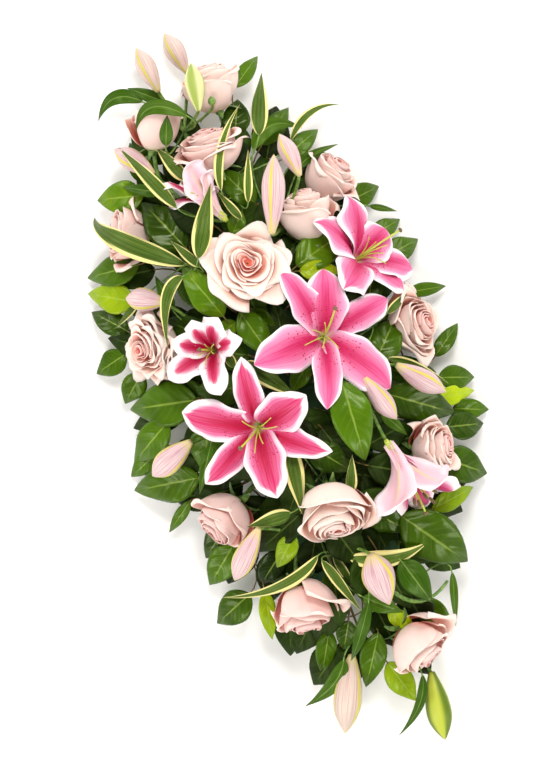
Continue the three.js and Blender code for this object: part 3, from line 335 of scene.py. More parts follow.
def bit(points, faces, uv, tone=0.5, side=1, finish=0):
    """A loose part of a piece: places, lists of faces, a uv and two numbers a vertex, and the place of
    its finish in the piece's list."""
    count = len(points)
    return {
        "points": points, "faces": faces, "uv": uv, "finish": finish,
        "tone": np.broadcast_to(tone, count), "side": np.broadcast_to(side, count),
    }


def blades(points, thickness, tone=0.5, finish=0, along=None):
    """Closed blades from open sheets, points[sheet, row, column]: each sheet is copied half the
    thickness to either side along its normal, thinning to its edges, and the two are sewn together."""
    sheets, rows, columns = points.shape[:3]
    normal = unit(np.cross(np.gradient(points, axis=1), np.gradient(points, axis=2)))
    s = np.linspace(-1, 1, columns)
    u = np.linspace(0, 1, rows)
    body = (1 - 0.8 * np.abs(s) ** 8)[None, :] * (1 - 0.6 * u ** 12)[:, None]
    shift = normal * (thickness / 2) * body[None, :, :, None]
    size = rows * columns
    both = [(points + shift).reshape(sheets, size, 3), (points - shift).reshape(sheets, size, 3)]
    grid = np.arange(size).reshape(rows, columns)
    upper = np.stack([grid[:-1, :-1], grid[1:, :-1], grid[1:, 1:], grid[:-1, 1:]], -1).reshape(-1, 4)
    rim = np.concatenate([grid[0, :-1], grid[:-1, -1], grid[-1, :0:-1], grid[:0:-1, 0]])
    after = np.roll(rim, -1)
    wall = np.stack([rim, after, after + size, rim + size], -1)
    one = np.concatenate([upper, upper[:, ::-1] + size, wall])
    faces = (one[None] + (np.arange(sheets) * 2 * size)[:, None, None]).reshape(-1, 4)
    uu, ss = np.meshgrid(u if along is None else along, s * 0.5 + 0.5, indexing="ij")
    uv = np.tile(np.stack([ss, uu], -1).reshape(-1, 2), (2 * sheets, 1))
    side = np.tile(np.repeat([1, 0], size), sheets)
    tones = np.repeat(np.broadcast_to(tone, sheets), 2 * size)
    return bit(np.concatenate(both, 1).reshape(-1, 3), [faces], uv, tones, side, finish)


def rounded(path, radii, sides, finish=0, tone=0.5):
    """A closed round body: rings of sides points about a path, radii[station] or [station, side]."""
    path = np.asarray(path, float)
    tangent = unit(np.gradient(path, axis=0))
    across = unit(np.cross(tangent, ASIDE))
    up = np.cross(tangent, across)
    angle = ring_angles(sides)
    radii = np.broadcast_to(np.asarray(radii, float).reshape(len(path), -1), (len(path), sides))
    cosine, sine = np.cos(angle)[None, :, None], np.sin(angle)[None, :, None]
    ring = across[:, None] * cosine + up[:, None] * sine
    points = (path[:, None] + radii[..., None] * ring).reshape(-1, 3)
    grid = np.arange(len(path) * sides).reshape(len(path), sides)
    beside = np.roll(grid, -1, axis=1)
    skin = np.stack([grid[:-1], beside[:-1], beside[1:], grid[1:]], -1).reshape(-1, 4)
    along = np.repeat(np.linspace(0, 1, len(path)), sides)
    around = np.tile(0.5 + 0.5 * np.cos(3 * angle), len(path))
    return bit(points, [skin, grid[:1, ::-1], grid[-1:]], np.stack([around, along], -1), tone, 1, finish)


def tube(points, radius, steps, sides, finish, taper=1):
    """A round stem of a radius along a Bezier curve, which may taper to its end."""
    t = np.linspace(0, 1, steps + 1)
    return rounded(bezier(points, t)[0], radius * lerp(1, taper, t), sides, finish)


def into_scene(name, data):
    """A new object of the data, in the scene."""
    made = bpy.data.objects.new(name, data)
    bpy.context.scene.collection.objects.link(made)
    return made


def piece(name, bits, finishes, nodes=()):
    """One object from its bits, with the UV map and the attributes tone and side that finishes read."""
    def joined(key):
        """One entry of all bits, end to end."""
        return np.concatenate([b[key] for b in bits])

    first = np.cumsum([0] + [len(b["points"]) for b in bits])
    loops, sizes, looks = [], [], []
    for b, start in zip(bits, first):
        for f in b["faces"]:
            loops.append((f + start).ravel())
            sizes.append(np.full(len(f), f.shape[1]))
            looks.append(np.full(len(f), b["finish"]))
    loops, sizes, looks = np.concatenate(loops), np.concatenate(sizes), np.concatenate(looks)
    mesh = bpy.data.meshes.new(name)
    mesh.vertices.add(int(first[-1]))
    mesh.vertices.foreach_set("co", (joined("points") * MM).ravel())
    mesh.loops.add(len(loops))
    mesh.loops.foreach_set("vertex_index", loops)
    mesh.polygons.add(len(sizes))
    mesh.polygons.foreach_set("loop_start", np.concatenate([[0], np.cumsum(sizes)[:-1]]))
    mesh.polygons.foreach_set("material_index", looks)
    mesh.update(calc_edges=True)
    mesh.shade_smooth()
    mesh.uv_layers.new(name="UVMap").data.foreach_set("uv", joined("uv")[loops].ravel())
    for key in ("tone", "side"):
        values = joined(key).astype(np.float32)
        mesh.attributes.new(key, "FLOAT", "POINT").data.foreach_set("value", values)
    for finish in finishes:
        mesh.materials.append(finish)
    made = into_scene(name, mesh)
    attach(made, "root")
    if nodes:
        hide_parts(*nodes)


# Finishes

def colour(red, green, blue):
    """A shader colour from the values that a screen shows, 0 to 255."""
    linear = [((v / 255 + 0.055) / 1.055) ** 2.4 if v > 10 else v / 255 / 12.92 for v in (red, green, blue)]
    return (*linear, 1)


def tint(value):
    """A screen colour of three values as a shader colour; anything else as it is."""
    return colour(*value) if isinstance(value, tuple) and len(value) == 3 else value


class Nodes:
    """Short ways to add shader nodes to one material; numbers and colours go straight onto sockets."""

    def __init__(self, name, **settings):
        self.material = bpy.data.materials.new(name)
        self.material.use_nodes = True
        self.tree = self.material.node_tree
        self.shader = self.tree.nodes["Principled BSDF"]
        for key, value in settings.items():
            self.shader.inputs[key.replace("_", " ")].default_value = value

    def add(self, kind, out=0, setting=None, **inputs):
        """One output of a new node of a kind; an input is named, or i and its number."""
        made = self.tree.nodes.new("ShaderNode" + kind)
        if setting:
            setattr(made, *setting)
        for key, value in inputs.items():
            socket = made.inputs[int(key[1:]) if key[1:].isdigit() else key]
            if isinstance(value, bpy.types.NodeSocket):
                self.tree.links.new(value, socket)
            else:
                socket.default_value = value
        return made.outputs[out]

    def math(self, operation, a, b=0):
        """The result of one arithmetic node."""
        return self.add("Math", 0, ("operation", operation), i0=a, i1=b)

    def plus(self, a, b):
        """a + b"""
        return self.math("ADD", a, b)

    def minus(self, a, b):
        """a - b"""
        return self.math("SUBTRACT", a, b)

    def times(self, a, b):
        """a times b"""
        return self.math("MULTIPLY", a, b)

    def swing(self, value, reach):
        """A value of 0 to 1 as a swing about zero: (value - 0.5) reach."""
        return self.times(self.minus(value, 0.5), reach)

    def fade(self, value, low, high, out_low=0, out_high=1):
        """Smooth step of value from low to high, between two results."""
        return self.add("MapRange", 0, ("interpolation_type", "SMOOTHSTEP"), i0=value, i1=low, i2=high,
                        i3=out_low, i4=out_high)

    def mix(self, factor, a, b):
        """Two colours mixed: a where factor is 0, b where it is 1."""
        return self.add("Mix", 2, ("data_type", "RGBA"), i0=factor, i6=tint(a), i7=tint(b))

    def ramp(self, factor, stops):
        """Colours along a factor, from stops of a place and a colour."""
        made = self.add("ValToRGB", Fac=factor)
        elements = made.node.color_ramp.elements
        while len(elements) < len(stops):
            elements.new(0.5)
        for element, (place, shade) in zip(elements, stops):
            element.position = place
            element.color = tint(shade)
        return made

    def uv(self):
        """Across (0 to 1), along (0 to 1) and the distance from the middle (0 to 1)."""
        across = self.add("SeparateXYZ", Vector=self.add("TexCoord", "UV"))
        middle = self.math("ABSOLUTE", self.minus(self.times(across, 2), 1))
        return across, across.node.outputs[1], middle

    def stretched(self, scale_x, scale_y):
        """The piece's UV map scaled across and along, as a vector."""
        return self.add("VectorMath", 0, ("operation", "MULTIPLY"), i0=self.add("TexCoord", "UV"),
                        i1=(scale_x, scale_y, 1))

    def noise(self, vector, scale, detail):
        """Noise between 0 and 1 at a scale."""
        return self.add("TexNoise", "Fac", Vector=vector, Scale=scale, Detail=detail)

    def fibre(self, scale_x, scale_y, detail):
        """Noise drawn out along the piece."""
        return self.noise(self.stretched(scale_x, scale_y), 1, detail)

    def cloud(self, scale, detail):
        """Noise on the object's own coordinates."""
        return self.noise(self.add("TexCoord", "Object"), scale, detail)

    def given(self, name):
        """One of the numbers that a piece's bits give to each vertex."""
        return self.add("Attribute", "Fac", ("attribute_name", name))

    def finish(self, base, height, strength, depth):
        """The material, once it has its base colour and its bump."""
        bump = self.add("Bump", Height=height, Strength=strength, Distance=depth)
        self.tree.links.new(base, self.shader.inputs["Base Color"])
        self.tree.links.new(bump, self.shader.inputs["Normal"])
        return self.material


def rose_finish():
    """A matt petal: deep salmon at its root, which is partly the petal's own deeper base and partly painted
    warm shade for the creases between petals, and pale at its lip; pinker by its tone, with fine veins.
    """
    n = Nodes("rose_petal", Roughness=0.62, Specular_IOR_Level=0.3, Subsurface_Weight=0.12,
              Subsurface_Scale=0.002, Subsurface_Radius=(1, 0.5, 0.35))
    _, along, _ = n.uv()
    veins = n.fibre(34, 2.2, 2)
    pink = n.given("tone")
    # Painted shade: the deep salmon stops low along the petal (0 to 0.54) colour the warm shade in the
    # creases between the petals, over the petal's own deeper base.
    cream = n.ramp(along, [(0, (226, 150, 112)), (0.2, (224, 114, 92)), (0.54, (232, 168, 149)),
                           (0.82, (237, 206, 194)), (1, (240, 226, 218))])
    blush = n.ramp(along, [(0, (224, 140, 112)), (0.2, (222, 104, 94)), (0.5, (231, 162, 150)),
                           (0.8, (235, 195, 185)), (1, (238, 213, 205))])
    outside = n.mix(pink, (235, 214, 204), (228, 190, 185))
    outside = n.mix(n.fade(along, 0.3, 0), outside, (226, 220, 170))
    base = n.mix(n.given("side"), outside, n.mix(pink, cream, blush))
    veined = n.fade(n.plus(veins, n.times(n.cloud(60, 2), 0.2)), 0.6, 0.9, 0, 0.3)
    return n.finish(n.mix(veined, base, (234, 186, 176)), veins, 0.25, 0.0006)


def lily_finish(name, heart, body, pale):
    """A lily's petal: a deep heart along its middle that pales to the sides, a white margin and tip as
    broad as its tone says, spots low down, a green throat, and a paler outside with a yellow rib."""
    n = Nodes(name, Roughness=0.48, Specular_IOR_Level=0.25, Subsurface_Weight=0.1,
              Subsurface_Scale=0.003, Subsurface_Radius=(1, 0.3, 0.5))
    _, along, middle = n.uv()
    margin = n.given("tone")
    streak = n.fibre(26, 1.6, 2)
    ragged = n.plus(middle, n.swing(streak, 0.3))
    pink = n.mix(n.fade(ragged, 0.1, 0.9), body, pale)
    pink = n.mix(n.fade(streak, 0.35, 0.75, 0, 0.22), pink, (230, 162, 192))
    glow = n.times(n.fade(along, 0.92, 0.35), n.fade(ragged, 0.8, 0.12))
    pink = n.mix(n.times(glow, 0.85), pink, heart)
    in_body = n.times(n.fade(along, 0.1, 0.3), n.fade(along, 0.93, 0.6))
    stripe = n.times(n.fade(ragged, 0.24, 0.02), in_body)
    striped = n.mix(n.times(stripe, 0.6), pink, heart)
    tip = n.times(n.fade(along, 0.6, 1), n.plus(n.times(margin, 0.8), 0.2))
    tip = n.plus(tip, n.times(n.fade(along, 0.8, 1), n.times(margin, 3.2)))
    edge_at = n.minus(n.minus(0.97, n.times(margin, 0.5)), tip)
    soft = n.minus(-0.26, n.times(margin, 0.5))
    edge = n.times(n.fade(n.minus(ragged, edge_at), soft, 0.05), n.fade(along, 0.16, 0.4))
    edged = n.mix(n.math("POWER", edge, 1.7), striped, (246, 233, 238))
    spots = n.add("TexVoronoi", "Distance", Vector=n.stretched(11, 34), Scale=1)
    low_down = n.times(n.fade(along, 0.2, 0.28), n.fade(along, 0.68, 0.5))
    spot_zone = n.times(low_down, n.fade(middle, 0.85, 0.6))
    spot = n.times(n.fade(spots, 0.3, 0.19), spot_zone)
    spotted = n.mix(spot, edged, (165, 8, 55))
    throat = n.mix(n.fade(along, 0.24, 0.08), spotted, (222, 226, 178))
    rib = n.times(n.fade(middle, 0.12, 0.03), n.fade(along, 0.9, 0.4))
    outside = n.mix(n.times(rib, 0.5), n.mix(0.72, edged, (240, 211, 218)), (206, 204, 120))
    base = n.mix(n.given("side"), outside, throat)
    return n.finish(base, n.plus(streak, n.times(spot, 0.6)), 0.35, 0.0008)


def bud_finish():
    """A bud's skin: pink streaks on cream and a yellow line on each rib, or green as its tone says."""
    n = Nodes("bud_skin", Roughness=0.42, Specular_IOR_Level=0.3, Subsurface_Weight=0.1,
              Subsurface_Scale=0.003, Subsurface_Radius=(1, 0.5, 0.4))
    rib, along, _ = n.uv()
    streak = n.fibre(16, 1.2, 3)
    lime = n.given("tone")
    pink = n.mix(n.fade(streak, 0.3, 0.7), (180, 124, 141), (221, 209, 203))
    ends = n.math("MAXIMUM", n.fade(along, 0.22, 0.02), n.fade(along, 0.9, 1))
    line = n.math("MAXIMUM", n.fade(rib, 0.9, 0.985), n.times(ends, 0.5))
    blushed = n.mix(line, pink, (200, 192, 72))
    ribbed = n.fade(n.plus(rib, n.times(streak, 0.5)), 0.45, 1.2)
    young = n.mix(ribbed, (208, 210, 150), (146, 164, 74))
    green = n.mix(ribbed, (178, 188, 62), (88, 112, 18))
    grown = n.mix(n.fade(lime, 0.5, 1), young, green)
    return n.finish(n.mix(n.fade(lime, 0, 0.4), blushed, grown), n.plus(streak, rib), 0.2, 0.0008)


def leaf_finish(name, roughness, greens, vein, strength, coat=0.12):
    """A glossy leaf, lighter by its tone, with a pale midrib and side veins that run forward to its
    edge, where |sin pi (9 along - 2.2 middle)| is small."""
    n = Nodes(name, Roughness=roughness, Specular_IOR_Level=0.24, Specular_Tint=LEAF_GLOSS,
              Coat_Weight=coat, Coat_Roughness=0.16)
    _, along, middle = n.uv()
    shade = n.plus(n.given("tone"), n.swing(n.cloud(45, 3), 0.3))
    body = n.ramp(shade, list(zip((0, 0.45, 1), greens)))
    slope = n.minus(n.times(along, 9), n.times(middle, 2.2))
    wave = n.math("ABSOLUTE", n.math("SINE", n.times(slope, math.pi)))
    side_vein = n.times(n.fade(wave, 0.22, 0.02), n.fade(middle, 1, 0.5))
    midrib = n.times(n.fade(middle, 0.075, 0.025), n.fade(along, 1, 0.6))
    lines = n.math("MAXIMUM", n.times(side_vein, 0.22), midrib)
    top = n.mix(n.times(lines, strength), body, vein)
    base = n.mix(n.given("side"), n.mix(0.5, body, (150, 170, 110)), top)
    height = n.minus(n.plus(n.times(n.cloud(260, 2), 0.25), wave), midrib)
    return n.finish(base, height, 0.17, 0.001)


def variegated_finish():
    """A striped green leaf with a ragged cream margin that its tone and a slow noise broaden."""
    n = Nodes("variegated_leaf", Roughness=0.36, Specular_IOR_Level=0.35, Specular_Tint=LEAF_GLOSS)
    across, _, middle = n.uv()
    streak = n.fibre(22, 0.9, 2)
    fine = n.fibre(60, 0.6, 1)
    tone = n.given("tone")
    green = n.mix(n.fade(streak, 0.35, 0.7), (17, 38, 6), (64, 94, 24))
    green = n.mix(n.times(tone, 0.4), green, (108, 140, 44))
    cream = n.mix(n.fade(fine, 0.4, 0.7), (234, 224, 156), (204, 190, 104))
    wander = n.plus(middle, n.swing(streak, 0.45))
    broader = n.times(n.minus(tone, 0.4), 0.5)
    uneven = n.times(n.minus(across, 0.5), n.fade(n.cloud(9, 1), 0.3, 0.7, -0.4, 0.4))
    margin = n.fade(n.plus(wander, n.plus(broader, uneven)), 0.74, 0.82)
    thin_line = n.times(n.fade(fine, 0.66, 0.72), 0.6)
    return n.finish(n.mix(n.math("MAXIMUM", margin, thin_line), green, cream), fine, 0.3, 0.0006)


def strap_finish():
    """A lily's narrow leaf: fine lines along it, dark to light by its tone, and a pale midrib."""
    n = Nodes("lily_leaf", Roughness=0.32, Specular_IOR_Level=0.3, Specular_Tint=LEAF_GLOSS)
    _, _, middle = n.uv()
    lines = n.fibre(30, 0.7, 1)
    shade = n.plus(n.given("tone"), n.swing(lines, 0.5))
    body = n.ramp(shade, [(0, (12, 32, 2)), (0.5, (46, 80, 8)), (1, (120, 150, 26))])
    return n.finish(n.mix(n.fade(middle, 0.1, 0.02, 0, 0.4), body, (150, 178, 90)), lines, 0.35, 0.0007)


def mottled_finish(name, pale, deep, roughness=0.45, scale=180, detail=3, strength=0.3, depth=0.0006):
    """A skin that wanders between two colours, with a grain of one scale."""
    n = Nodes(name, Roughness=roughness)
    cloud = n.cloud(scale, detail)
    return n.finish(n.mix(n.fade(cloud, 0.35, 0.65), pale, deep), cloud, strength, depth)


def moulded_finish(name, roughness, shown, grain_scale, grain_depth):
    """Moulded plastic or foam: a colour that drifts a little, and a grain of a given scale and depth."""
    n = Nodes(name, Roughness=roughness)
    grain = n.cloud(grain_scale, 2)
    shade = n.plus(n.times(n.cloud(14, 3), 0.5), n.times(grain, 0.5))
    full = colour(*shown)
    lower = tuple(0.75 * v for v in full[:3]) + (1,)
    return n.finish(n.mix(shade, lower, full), grain, 0.5, grain_depth)


POLLEN = (0.6, 900, 2, 0.4, 0.0004)  # roughness, grain's scale and detail, strength, depth
ROSE_PETAL = rose_finish()
LILY_LIGHT = lily_finish("lily_petal_light", (184, 6, 78), (205, 70, 128), (222, 146, 181))
LILY_DEEP = lily_finish("lily_petal_deep", (172, 0, 54), (190, 28, 92), (208, 106, 152))
BUD_SKIN = bud_finish()
SALAL_LEAF = leaf_finish("salal_leaf", 0.3, [(14, 34, 1), (74, 110, 5), (168, 190, 16)],
                         (160, 184, 80), 0.4)
# Painted shade: the leaves within the mound get darker greens than the leaves above them, standing for the
# shade in the gaps between those leaves.
SHADED_UNDER_LEAF = leaf_finish("under_leaf", 0.5, [(8, 22, 1), (48, 78, 4), (116, 140, 14)],
                         (120, 146, 64), 0.3, 0)
VARIEGATED_LEAF = variegated_finish()
LILY_LEAF = strap_finish()
GREEN_STEM = mottled_finish("green_stem", (120, 152, 62), (70, 110, 40))
WOODY_STEM = mottled_finish("woody_stem", (120, 110, 50), (104, 62, 34))
FILAMENT = mottled_finish("filament", (196, 205, 84), (160, 178, 60), *POLLEN)
STIGMA = mottled_finish("stigma", (84, 44, 52), (120, 110, 50), *POLLEN)
SEPAL = mottled_finish("sepal", (110, 140, 62), (58, 96, 36))


# Stems

def stem_foot(node):
    """Where a node's stem ends in the foam: the middle of its lowest corners inside the bricks."""
    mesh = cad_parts[node].data
    corners = np.empty(len(mesh.vertices) * 3, np.float32)
    mesh.vertices.foreach_get("co", corners)
    corners = corners.reshape(-1, 3) / MM
    inside = corners[(np.abs(corners[:, 0]) < FOAM_HALF[0]) & (np.abs(corners[:, 1]) < FOAM_HALF[1])]
    low = inside[inside[:, 2] < inside[:, 2].min() + 4]
    return low.mean(0).astype(float)


def stem_curve(foot, target, direction):
    """The stem's cubic curve: up out of the foam and 0.35 of the way across, then into its target along
    direction, from 0.45 of the distance before it and not under 0.55 of the foam's height."""
    target = np.asarray(target, float)
    distance = math.hypot(target[0] - foot[0], target[1] - foot[1])
    leave = foot + np.array([0.35 * (target[0] - foot[0]), 0.35 * (target[1] - foot[1]), 34])
    arrive = target - np.asarray(direction, float) * max(40, 0.45 * distance)
    arrive[2] = max(arrive[2], 0.55 * FOAM_TOP)
    return [foot, leave, arrive, target]


def stalk_curve(start, end, direction, drop=0):
    """A short stalk that springs from a stem and arrives along direction, less straight if it drops."""
    start, end = np.asarray(start, float), np.asarray(end, float)
    reach = np.linalg.norm(end - start)
    middle = end - np.asarray(direction, float) * (0.4 - drop) * reach - np.array([0, 0, drop * reach])
    middle[2] = max(middle[2], LOWEST_LEAF + 4)
    return [start, middle, end]


# Leaves

def leaf_middle(base, tip, level, mid=()):
    """Quadratic curve of a leaf's midrib: at its share of the mound's height, arched by 0.14 of its
    length."""
    start = np.array([base[0], base[1], level * mound_height(*base)])
    end = np.array([tip[0], tip[1], max(LOWEST_LEAF + 3, level * mound_height(*tip) - 6)])
    half = np.array([*mid, 0], float) if mid else (start + end) / 2
    half[2] = (start[2] + end[2]) / 2 + 0.14 * np.linalg.norm(end - start)
    return [start, 2 * half - (start + end) / 2, end]


def leaf_sheet(curve, width, form, roll, phase):
    """A leaf about its midrib: half width w sin(pi u^a)^b with fine teeth, folded up from the midrib,
    waved along its edge, rolled about the midrib and dipping at its tip."""
    fuller, _, power, sharp, fold, wave, teeth = LEAF_FORMS[form]
    rows, columns = LEAF_GRID
    width = width * fuller
    u = np.linspace(0, 1, rows)
    s = np.linspace(-1, 1, columns)[None]
    t, edge = u[:, None], np.abs(s)
    middle, tangent = bezier(curve, u)
    flat = unit(np.stack([-tangent[:, 1], tangent[:, 0], 0 * u], -1))
    rise = np.cross(tangent, flat)
    across = flat * math.cos(roll) + rise * math.sin(roll)
    up = rise * math.cos(roll) - flat * math.sin(roll)
    outline = np.sin(math.pi * np.clip(u, 0.004, 0.996) ** power) ** sharp
    outline = outline * (1 + teeth * ((u * rows / 2 * 1.01) % 1 - 0.5)) + 0.02
    half = (width / 2 * outline)[:, None]
    ripple = wave * width * np.sin(11 * t + 3 * s + phase) * edge ** 1.5 * outline[:, None]
    ripple += 0.02 * width * np.sin(2 * math.pi * 4.5 * (t - 0.3 * edge)) * (1 - edge)
    lift = fold * edge ** 1.3 * half - 0.1 * half * s ** 4 + ripple
    dip = TIP_DROOP * np.linalg.norm(curve[-1] - curve[0]) * np.maximum(0, t - 0.7) ** 2 / 0.09
    sheet = middle[:, None] + across[:, None] * (s * half)[..., None] + up[:, None] * lift[..., None]
    sheet[..., 2] = np.maximum(sheet[..., 2] - dip, LOWEST_LEAF - 3)
    return sheet


def leaf_bits(spec, form, stalk, draw, stalk_radius=1.1):
    """A leaf and its stalk, which starts at the place that the stem offers."""
    x, y, tip_x, tip_y, width, level, tone = spec[:7]
    curve = leaf_middle((x, y), (tip_x, tip_y), level, spec[7:])
    forward = unit(curve[1] - curve[0])
    sheet = leaf_sheet(curve, width, form, draw.uniform(-0.25, 0.25), draw.uniform(0, 6))
    route = stalk_curve(stalk(curve[0]), curve[0] + forward * 2, forward)
    return [
        blades(sheet[None], LEAF_FORMS[form][1], tone + draw.uniform(-0.06, 0.06)),
        tube(route, stalk_radius, 8, 6, 1, taper=0.7),
    ]


def leafy_stem(name, end, leaves, form, finishes, slot, seed):
    """A stem from its foot in the foam to its end, with leaves whose stalks spring from the nearest of
    14 points on its outer half."""
    draw = np.random.default_rng(seed)
    foot = stem_foot(name)
    outward = unit(np.array([end[0] - foot[0], end[1] - foot[1], 0]))
    route = stem_curve(foot, end, outward)
    outer = bezier(route, np.linspace(0.45, 0.97, 14))[0]

    def nearest(place):
        """The one of those points that lies nearest to a place."""
        return outer[np.argmin(np.linalg.norm(outer - place, axis=1))]

    bits = [tube(route, STEM_RADIUS["leafy"], 16, 8, 1, taper=0.6)]
    for spec in leaves:
        bits += leaf_bits(spec, form, nearest, draw)
    piece(name + "_leaves", bits, finishes, [name])


# Roses

def rose_petals(radius, height, openness, ruffle, pink, front, leant, covered, draw):
    """All petals of a head as sheets about +Z: a tight heart, then broad petals that open outwards.
    Petal i is turned i times the golden angle. Its profile is a cubic from the root over the belly and
    a crest to the lip; its sides roll back, which leaves a corner at the middle of the lip, and the
    heart is squeezed to an oval. On the side of a leant head that faces up, at the angle front, the
    petals stand higher and their lips lie closer, covered times as much."""
    heart, broad = HEART_PETALS, int(9 + 5 * openness + 10 * ruffle)
    count = heart + broad
    index = np.arange(count)

    def jitter(reach):
        """A random number for each petal, up to reach either way."""
        return draw.uniform(-reach, reach, count)[:, None, None]

    layer = np.where(index < heart, 0.3 * (index + 0.7) / heart, 0.34 + 0.66 * (index - heart + 1) / broad)
    # Heart petals get a pinker tone: partly the heart's own deeper colour, partly painted warm shade deep
    # in the heart.
    heart_pink_and_shade = 0.9 * np.maximum(0, 1 - layer / 0.5)
    layer = layer[:, None, None]
    closed = 1 - openness
    turn = (index * GOLDEN_ANGLE)[:, None, None] + jitter(0.42)
    u = np.linspace(0, 1, 19)[None, :, None]
    s = np.linspace(-1, 1, 19)[None, None, :]
    v = u * (1 - 0.22 * s ** 2 * u ** 2)
    belly = radius * (0.05 + lerp(0.77, 0.64, openness) * layer ** 0.8) * (1 + 0.6 * layer * jitter(0.06))
    crest = height * (1 - (0.2 + 0.2 * openness ** 1.6) * layer ** 1.8) * (1 + layer * jitter(0.08))
    flare = lerp(0.02, 0.28 + 0.12 * openness, layer ** (1.3 + 3 * closed))
    flare = flare * (1 + jitter(0.3)) * (1 - 0.3 * ruffle)
    facing = np.maximum(0, np.cos(turn - front)) * leant * covered
    flare = flare * (1 - 0.35 * leant - 0.85 * facing)
    crest = crest * (1 + 0.3 * facing * layer)
    lip = belly * (1 - 0.5 * closed * (1 - layer ** 3)) * (1 - 0.75 * (1 - layer) ** 8) + radius * flare
    fall = height * lerp(0.02, 0.15, layer) * (1 + jitter(0.6))
    root = lerp(0.88, 0.04, layer ** 1.1) * height
    w = 1 - v
    low = belly * lerp(1, 1.32 - 0.15 * openness, layer)
    r = 3 * w ** 2 * v * low + 3 * w * v ** 2 * belly + v ** 3 * lip + 1.5 * (1 - layer)
    z = (w ** 3 * root + 3 * w ** 2 * v * (root + 0.03 * height)
         + 3 * w * v ** 2 * (crest + 0.13 * height * layer) + v ** 3 * (crest - fall))
    half = radius * lerp(0.44, 1.06, layer ** 0.8) * (1 - 0.25 * ruffle)
    widen = np.sin(math.pi * np.minimum(0.5, 0.17 + 0.62 * u)) * (1 - 0.3 * np.maximum(0, u - 0.8))
    angle = turn + s * np.minimum(lerp(1.7, 1.2 - 0.2 * openness, layer), half * widen / np.maximum(r, 4))
    swirl = 1 + lerp(0.3, 0.08, layer ** 0.5) * s * (1 + jitter(0.5))
    roll_back = layer ** (1 + 2.6 * closed) * np.abs(s) ** 3 * u ** 4
    corner = (0.12 + 0.06 * openness) * layer ** (1 + closed) * np.exp(-(s / 0.3) ** 2) * u ** 6
    corner = corner * (1 + jitter(0.8))
    phase = draw.uniform(0, 6.3, count)[:, None, None]
    wave = 0.055 * np.cos(4 * s + phase) * u ** 3 * (1 + ruffle)
    r = r * swirl + radius * layer * (wave + 0.1 * roll_back) + radius * corner
    z = z + 2 * layer * u ** 3 * np.cos(3.1 * s + phase) * (1 + 0.6 * ruffle) - 0.2 * height * roll_back
    z = z + (0.8 + 1.2 * ruffle) * u ** 5 * np.sin(8 * s + 2 * phase) * layer
    oval = 1 + (1 - layer) * (0.24 * np.cos(2 * angle + 1) + 0.14 * np.cos(3 * angle + 2)) * u
    sheets = np.stack([oval * r * np.cos(angle), oval * r * np.sin(angle), z], -1)
    # The pinker heart tone added here is partly painted shade.
    tones = np.clip(pink + heart_pink_and_shade + draw.uniform(-0.1, 0.1, count), 0, 1)
    return blades(sheets, THICKNESS["petal"], tones)


def rose_sepals(radius, height):
    """Five narrow sepals that bend down from the hip below the head, and the hip itself."""
    u = np.linspace(0, 1, 9)[None, :, None]
    s = np.linspace(-1, 1, 5)[None, None, :]
    turn = ring_angles(5)[:, None, None]
    r = 3 + 0.52 * radius * u
    angle = turn + s * (4.2 * np.sin(math.pi * (0.15 + 0.8 * u)) + 0.2) / r
    z = 0.1 * height + 6 * u - 14 * u ** 2 + 0 * angle
    sheets = np.stack([r * np.cos(angle), r * np.sin(angle), z], -1)
    path = np.array([[0, 0, z] for z in np.linspace(-0.06, 0.14, 7) * height])
    hip = rounded(path, [0.4, 3.2, 4.8, 5.4, 5.2, 4.6, 3], 12, 1)
    return [blades(sheets, THICKNESS["sepal"], finish=1), hip]


def leaning(azimuth, tilt):
    """The direction at an azimuth that leans from upright by a tilt, both in degrees."""
    a, t = math.radians(azimuth), math.radians(tilt)
    return np.array([math.sin(t) * math.cos(a), math.sin(t) * math.sin(a), math.cos(t)])


def rose(index, x, y, azimuth, tilt, radius, height, openness, ruffle, pink, covered=1):
    """A rose's head, turned about its axis, leant and set with its mouth on the mound, and its stem."""
    name = f"rose_{index + 1:02d}"
    draw = np.random.default_rng(SEEDS["rose"] + index)
    axis = leaning(azimuth, tilt + MORE_TILT * min(1, tilt / FULL_TILT))
    radius, height = WIDER_HEAD * radius, TALLER_HEAD * height
    leant = math.sin(math.radians(tilt))
    base = np.array([x, y, mound_height(x, y) - 0.85 * radius * leant]) - 0.88 * height * axis
    spin = 0.7 * index
    about = np.array([[math.cos(spin), math.sin(spin), 0], [-math.sin(spin), math.cos(spin), 0], [0, 0, 1]])
    up = np.array([0, 0, 1]) @ turn_to(axis).T @ about.T
    front = math.atan2(up[1], up[0])
    bits = [rose_petals(radius, height, openness, ruffle, pink, front, leant, covered, draw)]
    bits += rose_sepals(radius, height)
    for b in bits:
        b["points"] = b["points"] @ about @ turn_to(axis) + base
    bits.append(tube(stem_curve(stem_foot(name), base - 2 * axis, axis), STEM_RADIUS["rose"], 18, 10, 2))
    piece(name + "_bloom", bits, [ROSE_PETAL, SEPAL, GREEN_STEM], [name])


# Lilies

def on_mound(place):
    """A place whose height is given over the mound."""
    x, y, over = place
    return np.array([x, y, mound_height(x, y) + over])


def place_lily(spec):
    """Foot, axis and tips of a lily: its axis runs from its foot to the middle of its tips."""
    x, y = spec["base"]
    foot = np.array([x, y, mound_height(x, y) - spec["depth"]])
    tips = [on_mound(p) for p in spec["tips"]]
    return foot, unit(np.mean(tips, 0) - foot), tips


